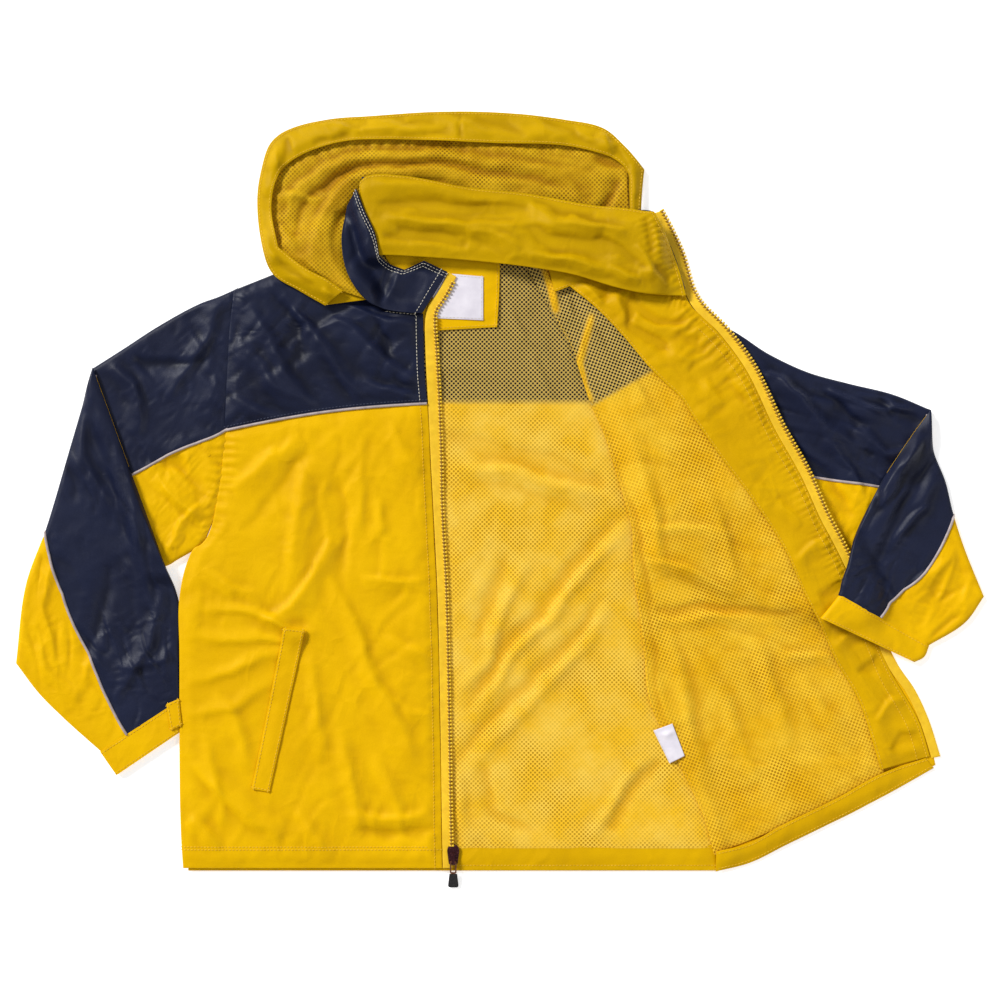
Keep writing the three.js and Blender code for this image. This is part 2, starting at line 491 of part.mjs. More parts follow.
// One stretch of a sleeve: two cloths that wrap round its edges, and the piping in their seam.
function addSleeveStretch(name, rows, outerCloth, innerCloth, on, split, steps = 3) {
  const cut = refine(rows, split);
  const turnOfLength = ({ x0, y0, x1, y1 }, length) => 0.5 * length / Math.hypot(x1 - x0, y1 - y0);
  const half = (section, extra) => turnOfLength(section, PIPING / 2 + extra);
  const seamTurn = (section) => section.seam / 2;
  const innerOf = (section) => {
    const turns = innerTurns(seamTurn(section) + half(section, GAP), steps);
    return turns.with(-1, turns.at(-1) - turnOfLength(section, GAP / 2));
  };
  const outerOf = (section) => {
    const turns = outerTurns(seamTurn(section) - half(section, GAP), steps);
    return turns.with(0, turns[0] + turnOfLength(section, GAP / 2));
  };
  const level = sleeveLevel(cut, innerOf, on);
  addSleeveWall(`${name}_${outerCloth}`, `${outerCloth}_shell`, cut, outerOf, level, 0, SHELL);
  addSleeveWall(`${name}_${innerCloth}`, `${innerCloth}_shell`, cut, innerOf, level, 0, SHELL);
  const pipingOf = (section) => [-1, 0, 1].map((side) => seamTurn(section) + side * half(section, 0));
  addSleeveWall(`${name}_piping`, 'piping', cut, pipingOf, level, -PIPING_RISE, SHELL);
  return [`${name}_${outerCloth}`, `${name}_${innerCloth}`, `${name}_piping`];
}

const CUFF_TURNS = [
  0, 0.008, 0.03, 0.14, 0.25, 0.36, 0.47, 0.492, 0.5, 0.508, 0.53, 0.64, 0.75, 0.86, 0.97, 0.992];

function addCuff(name, rows, on) {
  const cut = refine(rows, 1);
  const turnsOf = () => CUFF_TURNS;
  addSleeveWall(name, 'yellow_shell', cut, turnsOf, sleeveLevel(cut, turnsOf, on), 0, SHELL, true);
}

// A strip of sections below others: the piping under the yoke, or a turned-up hem.
const moved = ({ x0, y0, x1, y1, bow }, from, to) => sections(
  [x0, y0 - from, x1, y1 - from, bow], [x0, y0 - to, x1, y1 - to, bow]);

// Back
const BACK = ['back_yoke', 'back_body'];
addCloth('back_yoke', 'navy_shell', BACK_YOKE, { across: 2, split: 1 });
addCloth('back_body', 'yellow_shell', BACK_BODY, { across: 2 });
const COVERED = [0, 0.28, 0.56, 0.64, 0.73, 0.82, 0.91, 1]; // coarse where the right front lies over it
const lowered = (y) => (y > LINING_INSET.neckFrom ? y - LINING_INSET.neck : y);
const liningOf = ({ x0, y0, x1, y1 }) => [
  x0 + LINING_INSET.outer, lowered(y0), x1 - LINING_INSET.inner, lowered(y1)];
const backLining = sections(...[...BACK_YOKE, ...BACK_BODY.slice(1, -1)].map(liningOf), BACK_LINING_END);
addCloth('back_lining', 'mesh_lining', backLining, {
  on: BACK, across: COVERED, split: 1, wall: MESH, folded: BACK_LINING_FOLDS });
addCloth('back_hem', 'yellow_shell', moved(BACK_HEM.top, 0, BACK_HEM.depth), {
  on: BACK, across: 14, split: 1 });
addCloth('neck_patch', 'yellow_shell', NECK_PATCH, { on: [...BACK, 'back_lining'] });
addCloth('neck_label', 'label', NECK_LABEL, { on: ['back_lining', 'neck_patch'], wall: MESH, split: 3 });

// Right front
const INSIDE = [...BACK, 'back_lining', 'back_hem', 'neck_patch', 'neck_label'];
addCloth('right_front_yoke', 'navy_shell', RIGHT_YOKE, {
  on: INSIDE, across: 8, folded: RIGHT_YOKE_FOLDS, puff: 1.5 });
addCloth('right_front_piping', 'piping', moved(RIGHT_YOKE.at(-1), GAP, GAP + PIPING), {
  on: INSIDE, across: 8, split: 1, wall: SHELL + PIPING_RISE });
addCloth('right_front_body', 'yellow_shell', RIGHT_BODY, {
  on: INSIDE, across: 10, folded: RIGHT_BODY_FOLDS, puff: 2 });
addCloth('right_zip_tape', 'zip_tape', RIGHT_TAPE, { on: INSIDE, across: 1, split: 4, wall: MESH });
addCloth('pocket_welt', 'yellow_shell', WELT, {
  on: ['right_front_body'], across: 3, split: 8, soften: SOFTEN.trim });

// Right sleeve
const rightUpper = addSleeveStretch('right_sleeve_upper', RIGHT_UPPER, 'navy', 'yellow', [], 1);
const rightLower = addSleeveStretch('right_sleeve_lower', RIGHT_LOWER, 'yellow', 'navy', rightUpper, 2);
addCuff('right_cuff', RIGHT_CUFF, []);
addCloth('right_cuff_tab', 'yellow_shell', RIGHT_TAB, {
  on: ['right_cuff', ...rightLower], across: 3, split: 5, soften: SOFTEN.trim });

// Left sleeve, its upper stretch under the left front
const leftUpper = addSleeveStretch('left_sleeve_upper', LEFT_UPPER, 'navy', 'yellow', [], 1);

// Left front
addCloth('left_front_yoke', 'navy_shell', LEFT_YOKE, { on: leftUpper, across: 6 });
addCloth('left_front_body', 'yellow_shell', LEFT_BODY, { on: leftUpper, across: 6 });
const LEFT_SHELL = ['left_front_yoke', 'left_front_body'];
addCloth('left_front_lining', 'mesh_lining', LEFT_LINING, {
  on: [...LEFT_SHELL, ...leftUpper], across: 7, wall: MESH, folded: LINING_FOLDS });
addCloth('left_front_facing', 'yellow_shell', LEFT_FACING, {
  on: [...LEFT_SHELL, ...leftUpper], across: 3, folded: FACING_FOLDS });
addCloth('left_front_hem', 'yellow_shell', LEFT_HEM, { on: ['left_front_body'], across: 2 });
addCloth('left_zip_tape', 'zip_tape', LEFT_TAPE, {
  on: [...leftUpper, 'left_front_yoke'], across: 1, split: 3, wall: MESH });
addCloth('care_label', 'label', CARE_LABEL, {
  on: ['left_front_lining'], across: 3, split: 6, wall: MESH, soften: SOFTEN.trim });

// Lower left sleeve, folded back over the zip edge
const UNDER_LEFT = [
  ...leftUpper, ...LEFT_SHELL, 'left_front_facing', 'left_front_lining', 'left_zip_tape', 'left_front_hem'];
const leftLower = addSleeveStretch('left_sleeve_lower', LEFT_LOWER, 'yellow', 'navy', UNDER_LEFT, 2, 5);
addCuff('left_cuff', LEFT_CUFF, UNDER_LEFT);

// Hood
const UNDER_HOOD = [...INSIDE, 'right_front_yoke', ...LEFT_SHELL, 'left_front_facing', 'left_front_lining'];
addCloth('hood_side_right', 'yellow_shell', HOOD_SIDE_RIGHT, { on: UNDER_HOOD, across: 6 });
addCloth('hood_side_left', 'yellow_shell', HOOD_SIDE_LEFT, { on: UNDER_HOOD, across: 5 });
const HOOD_SHELL = ['hood_side_right', 'hood_side_left'];
addCloth('hood_lining', 'mesh_lining', HOOD_LINING, {
  on: [...HOOD_SHELL, ...UNDER_HOOD], across: 6, wall: MESH, folded: HOOD_FOLDS });
addCloth('hood_brim', 'yellow_shell', BRIM, { on: [...HOOD_SHELL, ...UNDER_HOOD], across: 2 });

// Collar
const UNDER_COLLAR = [
  ...UNDER_HOOD, ...HOOD_SHELL, 'hood_lining', 'hood_brim', 'right_zip_tape', 'left_zip_tape'];
addCloth('collar_outer_back', 'navy_shell', COLLAR_BACK, { on: UNDER_COLLAR, across: 4, split: 3 });
const within = ({ x0, y0, x1, y1, bow }) => [x0, y0 + COLLAR_INSET.seam, x1, y1 - COLLAR_INSET.edge, bow];
addCloth('collar_inner', 'yellow_shell', sections(...COLLAR_BACK.map(within)), {
  on: ['collar_outer_back', ...UNDER_COLLAR], across: 4, split: 3, folded: COLLAR_FOLDS });
addCloth('collar_outer_right', 'navy_shell', COLLAR_RIGHT, {
  on: ['collar_outer_back', 'collar_inner', ...UNDER_COLLAR], across: 5, split: 3, soften: SOFTEN.trim });

// Slider, over the tape, with its right half down beside it
function solidOf(geometry) {
  const bare = geometry.clone();
  bare.deleteAttribute('normal');
  bare.deleteAttribute('uv');
  const merged = mergeVertices(bare, 1e-4);
  return new wasm.Manifold(new wasm.Mesh({
    numProp: 3, vertProperties: merged.attributes.position.array,
    triVerts: Uint32Array.from(merged.index.array) }));
}

function geometryOf(solid) {
  const mesh = solid.getMesh();
  const geometry = new THREE.BufferGeometry();
  geometry.setAttribute('position', new THREE.BufferAttribute(mesh.vertProperties, 3));
  geometry.setIndex(new THREE.BufferAttribute(mesh.triVerts, 1));
  return geometry.toNonIndexed();
}

function highestTop(names, x0, x1, y0, y1) {
  let best = 0;
  for (const name of names) {
    for (let x = x0; x <= x1 + CELL; x += CELL / 2) {
      for (let y = y0; y <= y1 + CELL; y += CELL / 2) {
        const [column, row] = cellOf(x, y);
        best = Math.max(best, tops.get(name)[row * TABLE.columns + column]);
      }
    }
  }
  return best;
}

const plateShape = new THREE.Shape();
const [headHalf, footHalf, halfLength] = [SLIDER.width / 2, SLIDER.foot / 2, SLIDER.length / 2];
plateShape.moveTo(-footHalf, -halfLength + SLIDER.corner);
plateShape.lineTo(-headHalf, halfLength - SLIDER.shoulder);
plateShape.quadraticCurveTo(-headHalf, halfLength, 0, halfLength);
plateShape.quadraticCurveTo(headHalf, halfLength, headHalf, halfLength - SLIDER.shoulder);
plateShape.lineTo(footHalf, -halfLength + SLIDER.corner);
plateShape.lineTo(footHalf - SLIDER.corner, -halfLength);
plateShape.lineTo(-footHalf + SLIDER.corner, -halfLength);
plateShape.closePath();

const underSlider = [...INSIDE, 'right_zip_tape', 'right_front_body'];
const plateZ = highestTop(underSlider, SLIDER.x - headHalf, SLIDER.x + headHalf,
  SLIDER.y - halfLength, SLIDER.y + halfLength) + GAP;
const besideZ = highestTop(INSIDE, SLIDER.x, SLIDER.x + headHalf,
  SLIDER.y - halfLength, SLIDER.y + halfLength) + GAP;
const plateTop = plateZ + SLIDER.plate;

const plate = new THREE.ExtrudeGeometry(plateShape, {
  depth: SLIDER.plate, bevelEnabled: false, curveSegments: 6 });
plate.translate(SLIDER.x, SLIDER.y, plateZ);
const skirtDepth = plateZ - besideZ + SKIRT.overlap;
const skirtWidth = footHalf - SKIRT.inset;
const skirt = new THREE.BoxGeometry(skirtWidth, SKIRT.length, skirtDepth);
skirt.translate(SLIDER.x + SKIRT.inset + skirtWidth / 2, SLIDER.y - SKIRT.back, besideZ + skirtDepth / 2);
const bailShape = new THREE.Shape();
const bailTop = BAIL.inner + BAIL.thickness;
bailShape.moveTo(BAIL.front, -BAIL.sunk);
bailShape.lineTo(BAIL.front, bailTop - BAIL.shoulder[1]);
bailShape.quadraticCurveTo(BAIL.front, bailTop, BAIL.front + BAIL.shoulder[0], bailTop);
bailShape.quadraticCurveTo(BAIL.back, bailTop, BAIL.back, -BAIL.sunk);
bailShape.lineTo(BAIL.back - BAIL.heel, -BAIL.sunk);
bailShape.quadraticCurveTo(BAIL.back - BAIL.heel, BAIL.inner, BAIL.front + BAIL.hollow, BAIL.inner);
bailShape.lineTo(BAIL.front + BAIL.thickness, BAIL.inner);
bailShape.lineTo(BAIL.front + BAIL.thickness, -BAIL.sunk);
bailShape.closePath();
const bail = new THREE.ExtrudeGeometry(bailShape, { depth: BAIL.width, bevelEnabled: false, curveSegments: 5 });
bail.rotateX(Math.PI / 2);
bail.rotateZ(Math.PI / 2);
bail.translate(SLIDER.x - BAIL.width / 2, SLIDER.y, plateTop);
addPiece('zip_slider', 'slider_metal', geometryOf(solidOf(plate).add(solidOf(skirt)).add(solidOf(bail))));

// Pull: a wire link in the bail, and the tab on it, hanging down over the hem
const pull = new THREE.Group();
pull.position.set(SLIDER.x, PULL.axisY, plateTop + PULL.axisRise);
pull.rotation.x = THREE.MathUtils.degToRad(PULL.tilt);
raincoat.add(pull);

// A rectangle with cut corners, from top down to bottom.
function cornerCut(width, top, bottom, corner) {
  const half = width / 2;
  return [[-half + corner, top], [-half, top - corner], [-half, bottom + corner], [-half + corner, bottom],
    [half - corner, bottom], [half, bottom + corner], [half, top - corner], [half - corner, top]]
    .map(([x, y]) => new THREE.Vector2(x, y));
}

const linkShape = new THREE.Shape(cornerCut(PULL.width, PULL.wire / 2, -PULL.length, PULL.corner));
const eye = cornerCut(PULL.width - 2 * PULL.wire, -PULL.wire / 2, -PULL.length + PULL.wire, PULL.eyeCorner);
linkShape.holes.push(new THREE.Path(eye));
const link = new THREE.ExtrudeGeometry(linkShape, { depth: PULL.wire, bevelEnabled: false, curveSegments: 3 });
link.translate(0, 0, -PULL.wire / 2);
addPiece('zip_link', 'slider_metal', link, pull);

const tabShape = new THREE.Shape();
const tabTop = -PULL.length - GAP;
const tabEnd = tabTop - TAB.length;
tabShape.moveTo(-TAB.top / 2, tabTop);
tabShape.lineTo(TAB.top / 2, tabTop);
tabShape.lineTo(TAB.bottom / 2, tabEnd + TAB.corner);
tabShape.quadraticCurveTo(TAB.bottom / 2, tabEnd, TAB.bottom / 2 - TAB.corner, tabEnd);
tabShape.lineTo(-TAB.bottom / 2 + TAB.corner, tabEnd);
tabShape.quadraticCurveTo(-TAB.bottom / 2, tabEnd, -TAB.bottom / 2, tabEnd + TAB.corner);
tabShape.closePath();
const tab = new THREE.ExtrudeGeometry(tabShape, {
  depth: TAB.thickness, bevelEnabled: false, curveSegments: 4 });
tab.translate(0, 0, -TAB.thickness / 2);
addPiece('zip_tab', 'pull_tab', tab, pull);

export default raincoat;
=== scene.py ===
"""A child's raincoat, laid flat with its wearer's left front turned open.

Tables and sizes are millimetres, as in the part's source. Meshes are metres.
"""
from __future__ import annotations

import logging
import math
from dataclasses import dataclass, field
from enum import Enum
from typing import Callable, Sequence

import bpy
import numpy as np
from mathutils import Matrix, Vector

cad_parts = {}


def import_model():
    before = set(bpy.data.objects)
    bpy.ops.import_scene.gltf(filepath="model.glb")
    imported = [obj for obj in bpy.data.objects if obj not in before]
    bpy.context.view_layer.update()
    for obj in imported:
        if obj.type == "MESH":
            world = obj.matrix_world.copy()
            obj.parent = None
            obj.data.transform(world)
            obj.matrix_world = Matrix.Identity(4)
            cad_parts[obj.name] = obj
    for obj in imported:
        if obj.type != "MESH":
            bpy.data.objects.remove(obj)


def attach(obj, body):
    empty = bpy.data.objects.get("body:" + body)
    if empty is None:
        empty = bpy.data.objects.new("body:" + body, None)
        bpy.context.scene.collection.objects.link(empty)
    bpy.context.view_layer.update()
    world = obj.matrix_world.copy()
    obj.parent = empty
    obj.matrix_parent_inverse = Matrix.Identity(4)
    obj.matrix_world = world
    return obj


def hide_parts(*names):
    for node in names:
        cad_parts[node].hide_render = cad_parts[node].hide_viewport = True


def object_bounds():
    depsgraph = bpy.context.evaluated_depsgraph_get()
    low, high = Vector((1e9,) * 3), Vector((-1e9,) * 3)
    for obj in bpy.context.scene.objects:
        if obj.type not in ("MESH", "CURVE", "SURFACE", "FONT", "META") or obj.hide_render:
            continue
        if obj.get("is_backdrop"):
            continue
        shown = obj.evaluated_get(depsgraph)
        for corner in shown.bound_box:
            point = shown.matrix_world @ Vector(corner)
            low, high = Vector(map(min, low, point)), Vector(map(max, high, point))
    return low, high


log = logging.getLogger("raincoat")

Array = np.ndarray
HeightOf = Callable[[Array, Array], Array]
Row = tuple[float, ...]
Colour = tuple[float, float, float, float]
Socket = bpy.types.NodeSocket
NodeTree = bpy.types.NodeTree

MM = 0.001
SHELL = 1.2
MESH = 0.9
GAP = 0.3
# How deep a trough is, in millimetres, when its painted shade is full.
CREASE_SHADE_DEPTH = 1.7
PUFF_REACH = 12.0


class Side(Enum):
    """How the cloth ends at a side of its cut."""

    FREE = "free"
    SEAM = "seam"
    FLAT = "flat"


# At such a side: the share of the puff and of the folds that stays, and how far in the folds are whole.
EDGE_KEEPS = {Side.FREE: (0.0, 0.3, 7.0), Side.SEAM: (0.45, 0.5, 8.0)}


class Slot(Enum):
    """The record's material slots."""

    YELLOW = "yellow_shell"
    NAVY = "navy_shell"
    MESH = "mesh_lining"
    PIPING = "piping"
    TAPE = "zip_tape"
    LABEL = "label"
    METAL = "slider_metal"
    TAB = "pull_tab"


# Noise and creases

class Noise:
    """Seeded gradient noise over the plan, from about -1 to 1."""

    def __init__(self, seed: int) -> None:
        """Draws the lattice of gradients from the seed."""
        angle = np.random.default_rng(seed).uniform(0, 2 * np.pi, (256, 256))
        self.across = np.cos(angle)
        self.up = np.sin(angle)

    def at(self, x: Array, y: Array, size: float) -> Array:
        """The noise at the points x, y.

        Args:
            x: places across, in millimetres.
            y: places up, in millimetres.
            size: the length of one cell of the noise.

        Returns:
            One value for each point.
        """
        px, py = x / size, y / size
        column, row = np.floor(px).astype(int), np.floor(py).astype(int)
        u, v = px - column, py - row

        def corner(i: int, j: int) -> Array:
            """What the lattice point i, j of the cell gives."""
            key = ((column + i) & 255, (row + j) & 255)
            return self.across[key] * (u - i) + self.up[key] * (v - j)

        su = u * u * u * (u * (u * 6 - 15) + 10)
        sv = v * v * v * (v * (v * 6 - 15) + 10)
        low = corner(0, 0) * (1 - su) + corner(1, 0) * su
        high = corner(0, 1) * (1 - su) + corner(1, 1) * su
        return 1.5 * (low * (1 - sv) + high * sv)


FIRST, SECOND, THIRD = Noise(11), Noise(23), Noise(37)


def warped(x: Array, y: Array, reach: float = 6.0) -> tuple[Array, Array]:
    """Shifts points a little, so that no crease runs quite straight.

    Args:
        x: places across.
        y: places up.
        reach: about how far a point may shift.

    Returns:
        The shifted places across and up.
    """
    shift_x = reach * FIRST.at(x + 31, y - 17, 55) + 0.35 * reach * SECOND.at(x, y, 19)
    shift_y = reach * SECOND.at(x - 43, y + 29, 55) + 0.35 * reach * FIRST.at(x, y, 19)
    return x + shift_x, y + shift_y


STRETCH = 2.6


def crumple(x: Array, y: Array, size: float, height: float, angle: float) -> Array:
    """Wrinkles of coated cloth: long thin ridges and troughs between smooth fields.

    Args:
        x: places across.
        y: places up.
        size: the usual distance between wrinkles.
        height: the usual height of one.
        angle: the way they run, in degrees.

    Returns:
        The rise at each point.
    """
    turn = math.radians(angle)
    along = (x * math.cos(turn) + y * math.sin(turn)) / STRETCH
    wx, wy = warped(along, y * math.cos(turn) - x * math.sin(turn), 0.3 * size)
    ridge = np.clip(1 - 3.4 * np.abs(FIRST.at(wx, wy, size)), 0, 1) ** 1.4
    trough = np.clip(1 - 3.4 * np.abs(SECOND.at(wx + 71, wy + 13, size * 0.9)), 0, 1) ** 1.4
    fine = np.clip(1 - 3 * np.abs(THIRD.at(wx, wy, size * 0.45)), 0, 1) ** 1.5
    swell = THIRD.at(wx - 50, wy + 90, size * 1.5)
    where = np.clip(0.5 + 1.1 * SECOND.at(x, y, size * 2.3), 0.05, 1)
    return height * (where * (ridge - trough + 0.35 * fine) + 0.8 * swell)


CREST = 0.16


def beside(path: Array, x: Array, y: Array) -> tuple[Array, Array, Array]:
    """Where points lie beside a path.

    Args:
        path: the path's points.
        x: places across.
        y: places up.

    Returns:
        The distance from the path, the run along it and the side, one of each for a point.
    """
    steps = np.diff(path, axis=0)
    nearest, start = np.full(x.shape, np.inf), 0.0
    side, along = np.zeros(x.shape), np.zeros(x.shape)
    for (px, py), (dx, dy) in zip(path[:-1], steps):
        length = math.hypot(dx, dy)
        t = np.clip(((x - px) * dx + (y - py) * dy) / length**2, 0, 1)
        off = np.hypot(x - px - t * dx, y - py - t * dy)
        closer = off < nearest
        nearest = np.where(closer, off, nearest)
        side = np.where(closer, np.sign((x - px) * dy - (y - py) * dx), side)
        along = np.where(closer, start + t * length, along)
        start += length
    return nearest, along, side


def crease(row: Row, x: Array, y: Array) -> Array:
    """How far a soft ridge lifts points, or a trough lowers them.

    Args:
        row: its height, half its width, how much steeper one flank is, then x and y of its points.
        x: places across.
        y: places up.

    Returns:
        The rise at each point.
    """
    height, width, lean, *numbers = row
    path = np.array(numbers, dtype=float).reshape(-1, 2)
    nearest, along, side = beside(path, x, y)
    part = along / np.hypot(*np.diff(path, axis=0).T).sum()
    off = np.clip(nearest / (width * (1 + lean * side)), 0, 1)
    tent = (np.sqrt(off**2 + CREST**2) - CREST) / (math.sqrt(1 + CREST**2) - CREST)
    return height * (1 - tent) ** 1.5 * np.sin(np.pi * np.clip(part, 0.001, 0.999)) ** 0.6


@dataclass(frozen=True)
class Pucker:
    """Small waves that a seam gathers, fading away from it."""

    path: tuple[tuple[float, float], ...]
    height: float = 0.9
    pitch: float = 9.0
    reach: float = 16.0

    def rise(self, x: Array, y: Array) -> Array:
        """How far the waves lift each point.

        Args:
            x: places across.
            y: places up.

        Returns:
            The rise at each point.
        """
        nearest, along, _ = beside(np.array(self.path, dtype=float), x, y)
        phase = 2 * np.pi * along / self.pitch + 3.2 * THIRD.at(along, nearest * 0.6, 21)
        fade = np.clip(1 - nearest / (self.reach * (1 + 0.5 * FIRST.at(along, along * 0, 13))), 0, 1)
        return self.height * np.sin(phase) * fade**1.3


@dataclass(frozen=True)
class Relief:
    """The creases, puckers and fine wrinkles of one area of cloth.

    A crease is its height, half its width, its lean, then x and y of its points.
    """

    creases: tuple[Row, ...] = ()
    puckers: tuple[Pucker, ...] = ()
    wrinkle: float = 0.8
    pitch: float = 42.0
    puff: float = 2.0
    angle: float = 62.0

    def at(self, x: Array, y: Array) -> Array:
        """The rise of the whole relief, apart from its puff.

        Args:
            x: places across.
            y: places up.

        Returns:
            The rise at each point.
        """
        wx, wy = warped(x, y)
        total = crumple(x, y, self.pitch, self.wrinkle, self.angle)
        total = total + crumple(x + 300, y, self.pitch * 0.45, self.wrinkle * 0.35, self.angle - 75)
        for row in self.creases:
            total = total + crease(row, wx, wy)
        for pucker in self.puckers:
            total = total + pucker.rise(x, y)
        return total

    def laid(self, x: Array, y: Array, sides: Sequence[Side],
             to_sides: Sequence[Array]) -> tuple[Array, Array]:
        """The relief of a cloth that is laid, with its puff, and calmer towards its sides.

        Args:
            x: places across.
            y: places up.
            sides: how the cloth ends at each side.
            to_sides: how far each point is from each side.

        Returns:
            The rise at each point, and the painted shade for how deep in a trough the point is.
        """
        puff, fade = np.ones(x.shape), np.ones(x.shape)
        for kind, distance in zip(sides, to_sides):
            if kind in EDGE_KEEPS:
                puff_kept, folds_kept, reach = EDGE_KEEPS[kind]
                puff *= puff_kept + (1 - puff_kept) * smooth_step(distance, PUFF_REACH)
                fade *= folds_kept + (1 - folds_kept) * smooth_step(distance, reach)
        rise = np.maximum(0, self.puff * puff + self.at(x, y) * fade)
        # Painted shade: troughs, and edges where the puff sinks, are marked for darkening.
        return rise, dips(rise + self.puff * (1 - puff))


# What lies on the table

def highest(stack: Array) -> Array:
    """The highest of stacked values."""
    return stack.max(axis=0)


def average(stack: Array) -> Array:
    """The mean of stacked values."""
    return stack.mean(axis=0)


def swept(heights: Array, cells: int, combine: Callable[[Array], Array], beyond: str = "constant") -> Array:
    """Runs a square window over heights.

    Args:
        heights: rows by columns.
        cells: how far the window reaches.
        combine: what to make of the values in a line of the window.
        beyond: what is taken beyond the edges, as np.pad names it.

    Returns:
        The combined heights.
    """
    for axis in (0, 1):
        padded = np.pad(heights, [(cells, cells) if a == axis else (0, 0) for a in (0, 1)], mode=beyond)
        size = heights.shape[axis]
        window = [np.take(padded, range(k, k + size), axis=axis) for k in range(2 * cells + 1)]
        heights = combine(np.stack(window))
    return heights


class Table:
    """Heights of the cloth that already lies on the table, in square cells."""

    CELL = 2.0
    X, Y = -464.0, -374.0
    COLUMNS, ROWS = 465, 375

    def __init__(self) -> None:
        """An empty table."""
        self.tops: dict[str, Array] = {}

    def mark(self, name: str, grid: Array) -> None:
        """Marks the surface of a piece.

        Args:
            name: the piece.
            grid: its points, rows by columns by three.
        """
        tops = self.tops.setdefault(name, np.zeros(self.ROWS * self.COLUMNS))
        span = max(np.abs(np.diff(grid[..., :2], axis=a)).max() for a in (0, 1))
        count = max(2, math.ceil(span / (0.5 * self.CELL)))
        a, b, c, d = grid[:-1, :-1], grid[1:, :-1], grid[:-1, 1:], grid[1:, 1:]
        for i in range(count + 1):
            for j in range(count + 1):
                u, v = i / count, j / count
                p = (a * (1 - u) + b * u) * (1 - v) + (c * (1 - u) + d * u) * v
                column = np.round((p[..., 0] - self.X) / self.CELL).astype(int)
                row = np.round((p[..., 1] - self.Y) / self.CELL).astype(int)
                np.maximum.at(tops, (row * self.COLUMNS + column).ravel(), p[..., 2].ravel())

    def level(self, names: Sequence[str], soften: float = 4.0) -> HeightOf:
        """How high a cloth lies that rests on the named pieces.

        Args:
            names: the pieces below.
            soften: how far a step below is softened.

        Returns:
            The height as a function of x and y.
        """
        if not names:
            return lambda x, y: np.zeros(np.shape(x))
        joined = np.zeros(self.ROWS * self.COLUMNS)
        for name in names:
            tops = self.tops[name]
            joined = np.maximum(joined, np.where(tops > 0, tops + GAP, 0))
        cells = max(1, round(soften / self.CELL))
        wide = swept(joined.reshape(self.ROWS, self.COLUMNS), 2 * cells + 1, highest)
        soft = swept(swept(wide, cells, average), 1, average)

        def height(x: Array, y: Array) -> Array:
            """The softened height at x, y."""
            fx = np.clip((x - self.X) / self.CELL, 0, self.COLUMNS - 2)
            fy = np.clip((y - self.Y) / self.CELL, 0, self.ROWS - 2)
            column, row = np.floor(fx).astype(int), np.floor(fy).astype(int)
            u, v = fx - column, fy - row
            low = soft[row, column] * (1 - u) + soft[row, column + 1] * u
            high = soft[row + 1, column] * (1 - u) + soft[row + 1, column + 1] * u
            return low * (1 - v) + high * v

        return height


# Cuts

EDGE_STEPS = (0.15, 0.6)
SLIVER = 2e-4
CORNER = math.cos(math.radians(40))


def unit(vectors: Array) -> Array:
    """The vectors at length one."""
    return vectors / np.maximum(np.linalg.norm(vectors, axis=-1, keepdims=True), 1e-9)


def run_along(points: Array) -> Array:
    """How far along a line each of its points is."""
    return np.concatenate([[0], np.cumsum(np.linalg.norm(np.diff(points, axis=0), axis=1))])


def widths_of(sections: Array) -> Array:
    """How long each section is."""
    return np.hypot(sections[:, 2] - sections[:, 0], sections[:, 3] - sections[:, 1])


def middles_of(sections: Array) -> Array:
    """The middle of each section."""
    return 0.5 * (sections[:, 0:2] + sections[:, 2:4])


def push_end(sections: Array, last: bool, inward: int, amount: float) -> None:
    """Moves the three sections at one end further out, in place.

    Args:
        sections: as Cut.sampled gives them.
        last: whether it is the last end.
        inward: how many sections further in the way out is measured from.
        amount: how far they move.
    """
    end, inside = (-1, -1 - inward) if last else (0, inward)
    three = slice(-3, None) if last else slice(0, 3)
    way = unit(sections[end, 0:2] + sections[end, 2:4] - sections[inside, 0:2] - sections[inside, 2:4])
    sections[three, 0:2] += way * amount
    sections[three, 2:4] += way * amount


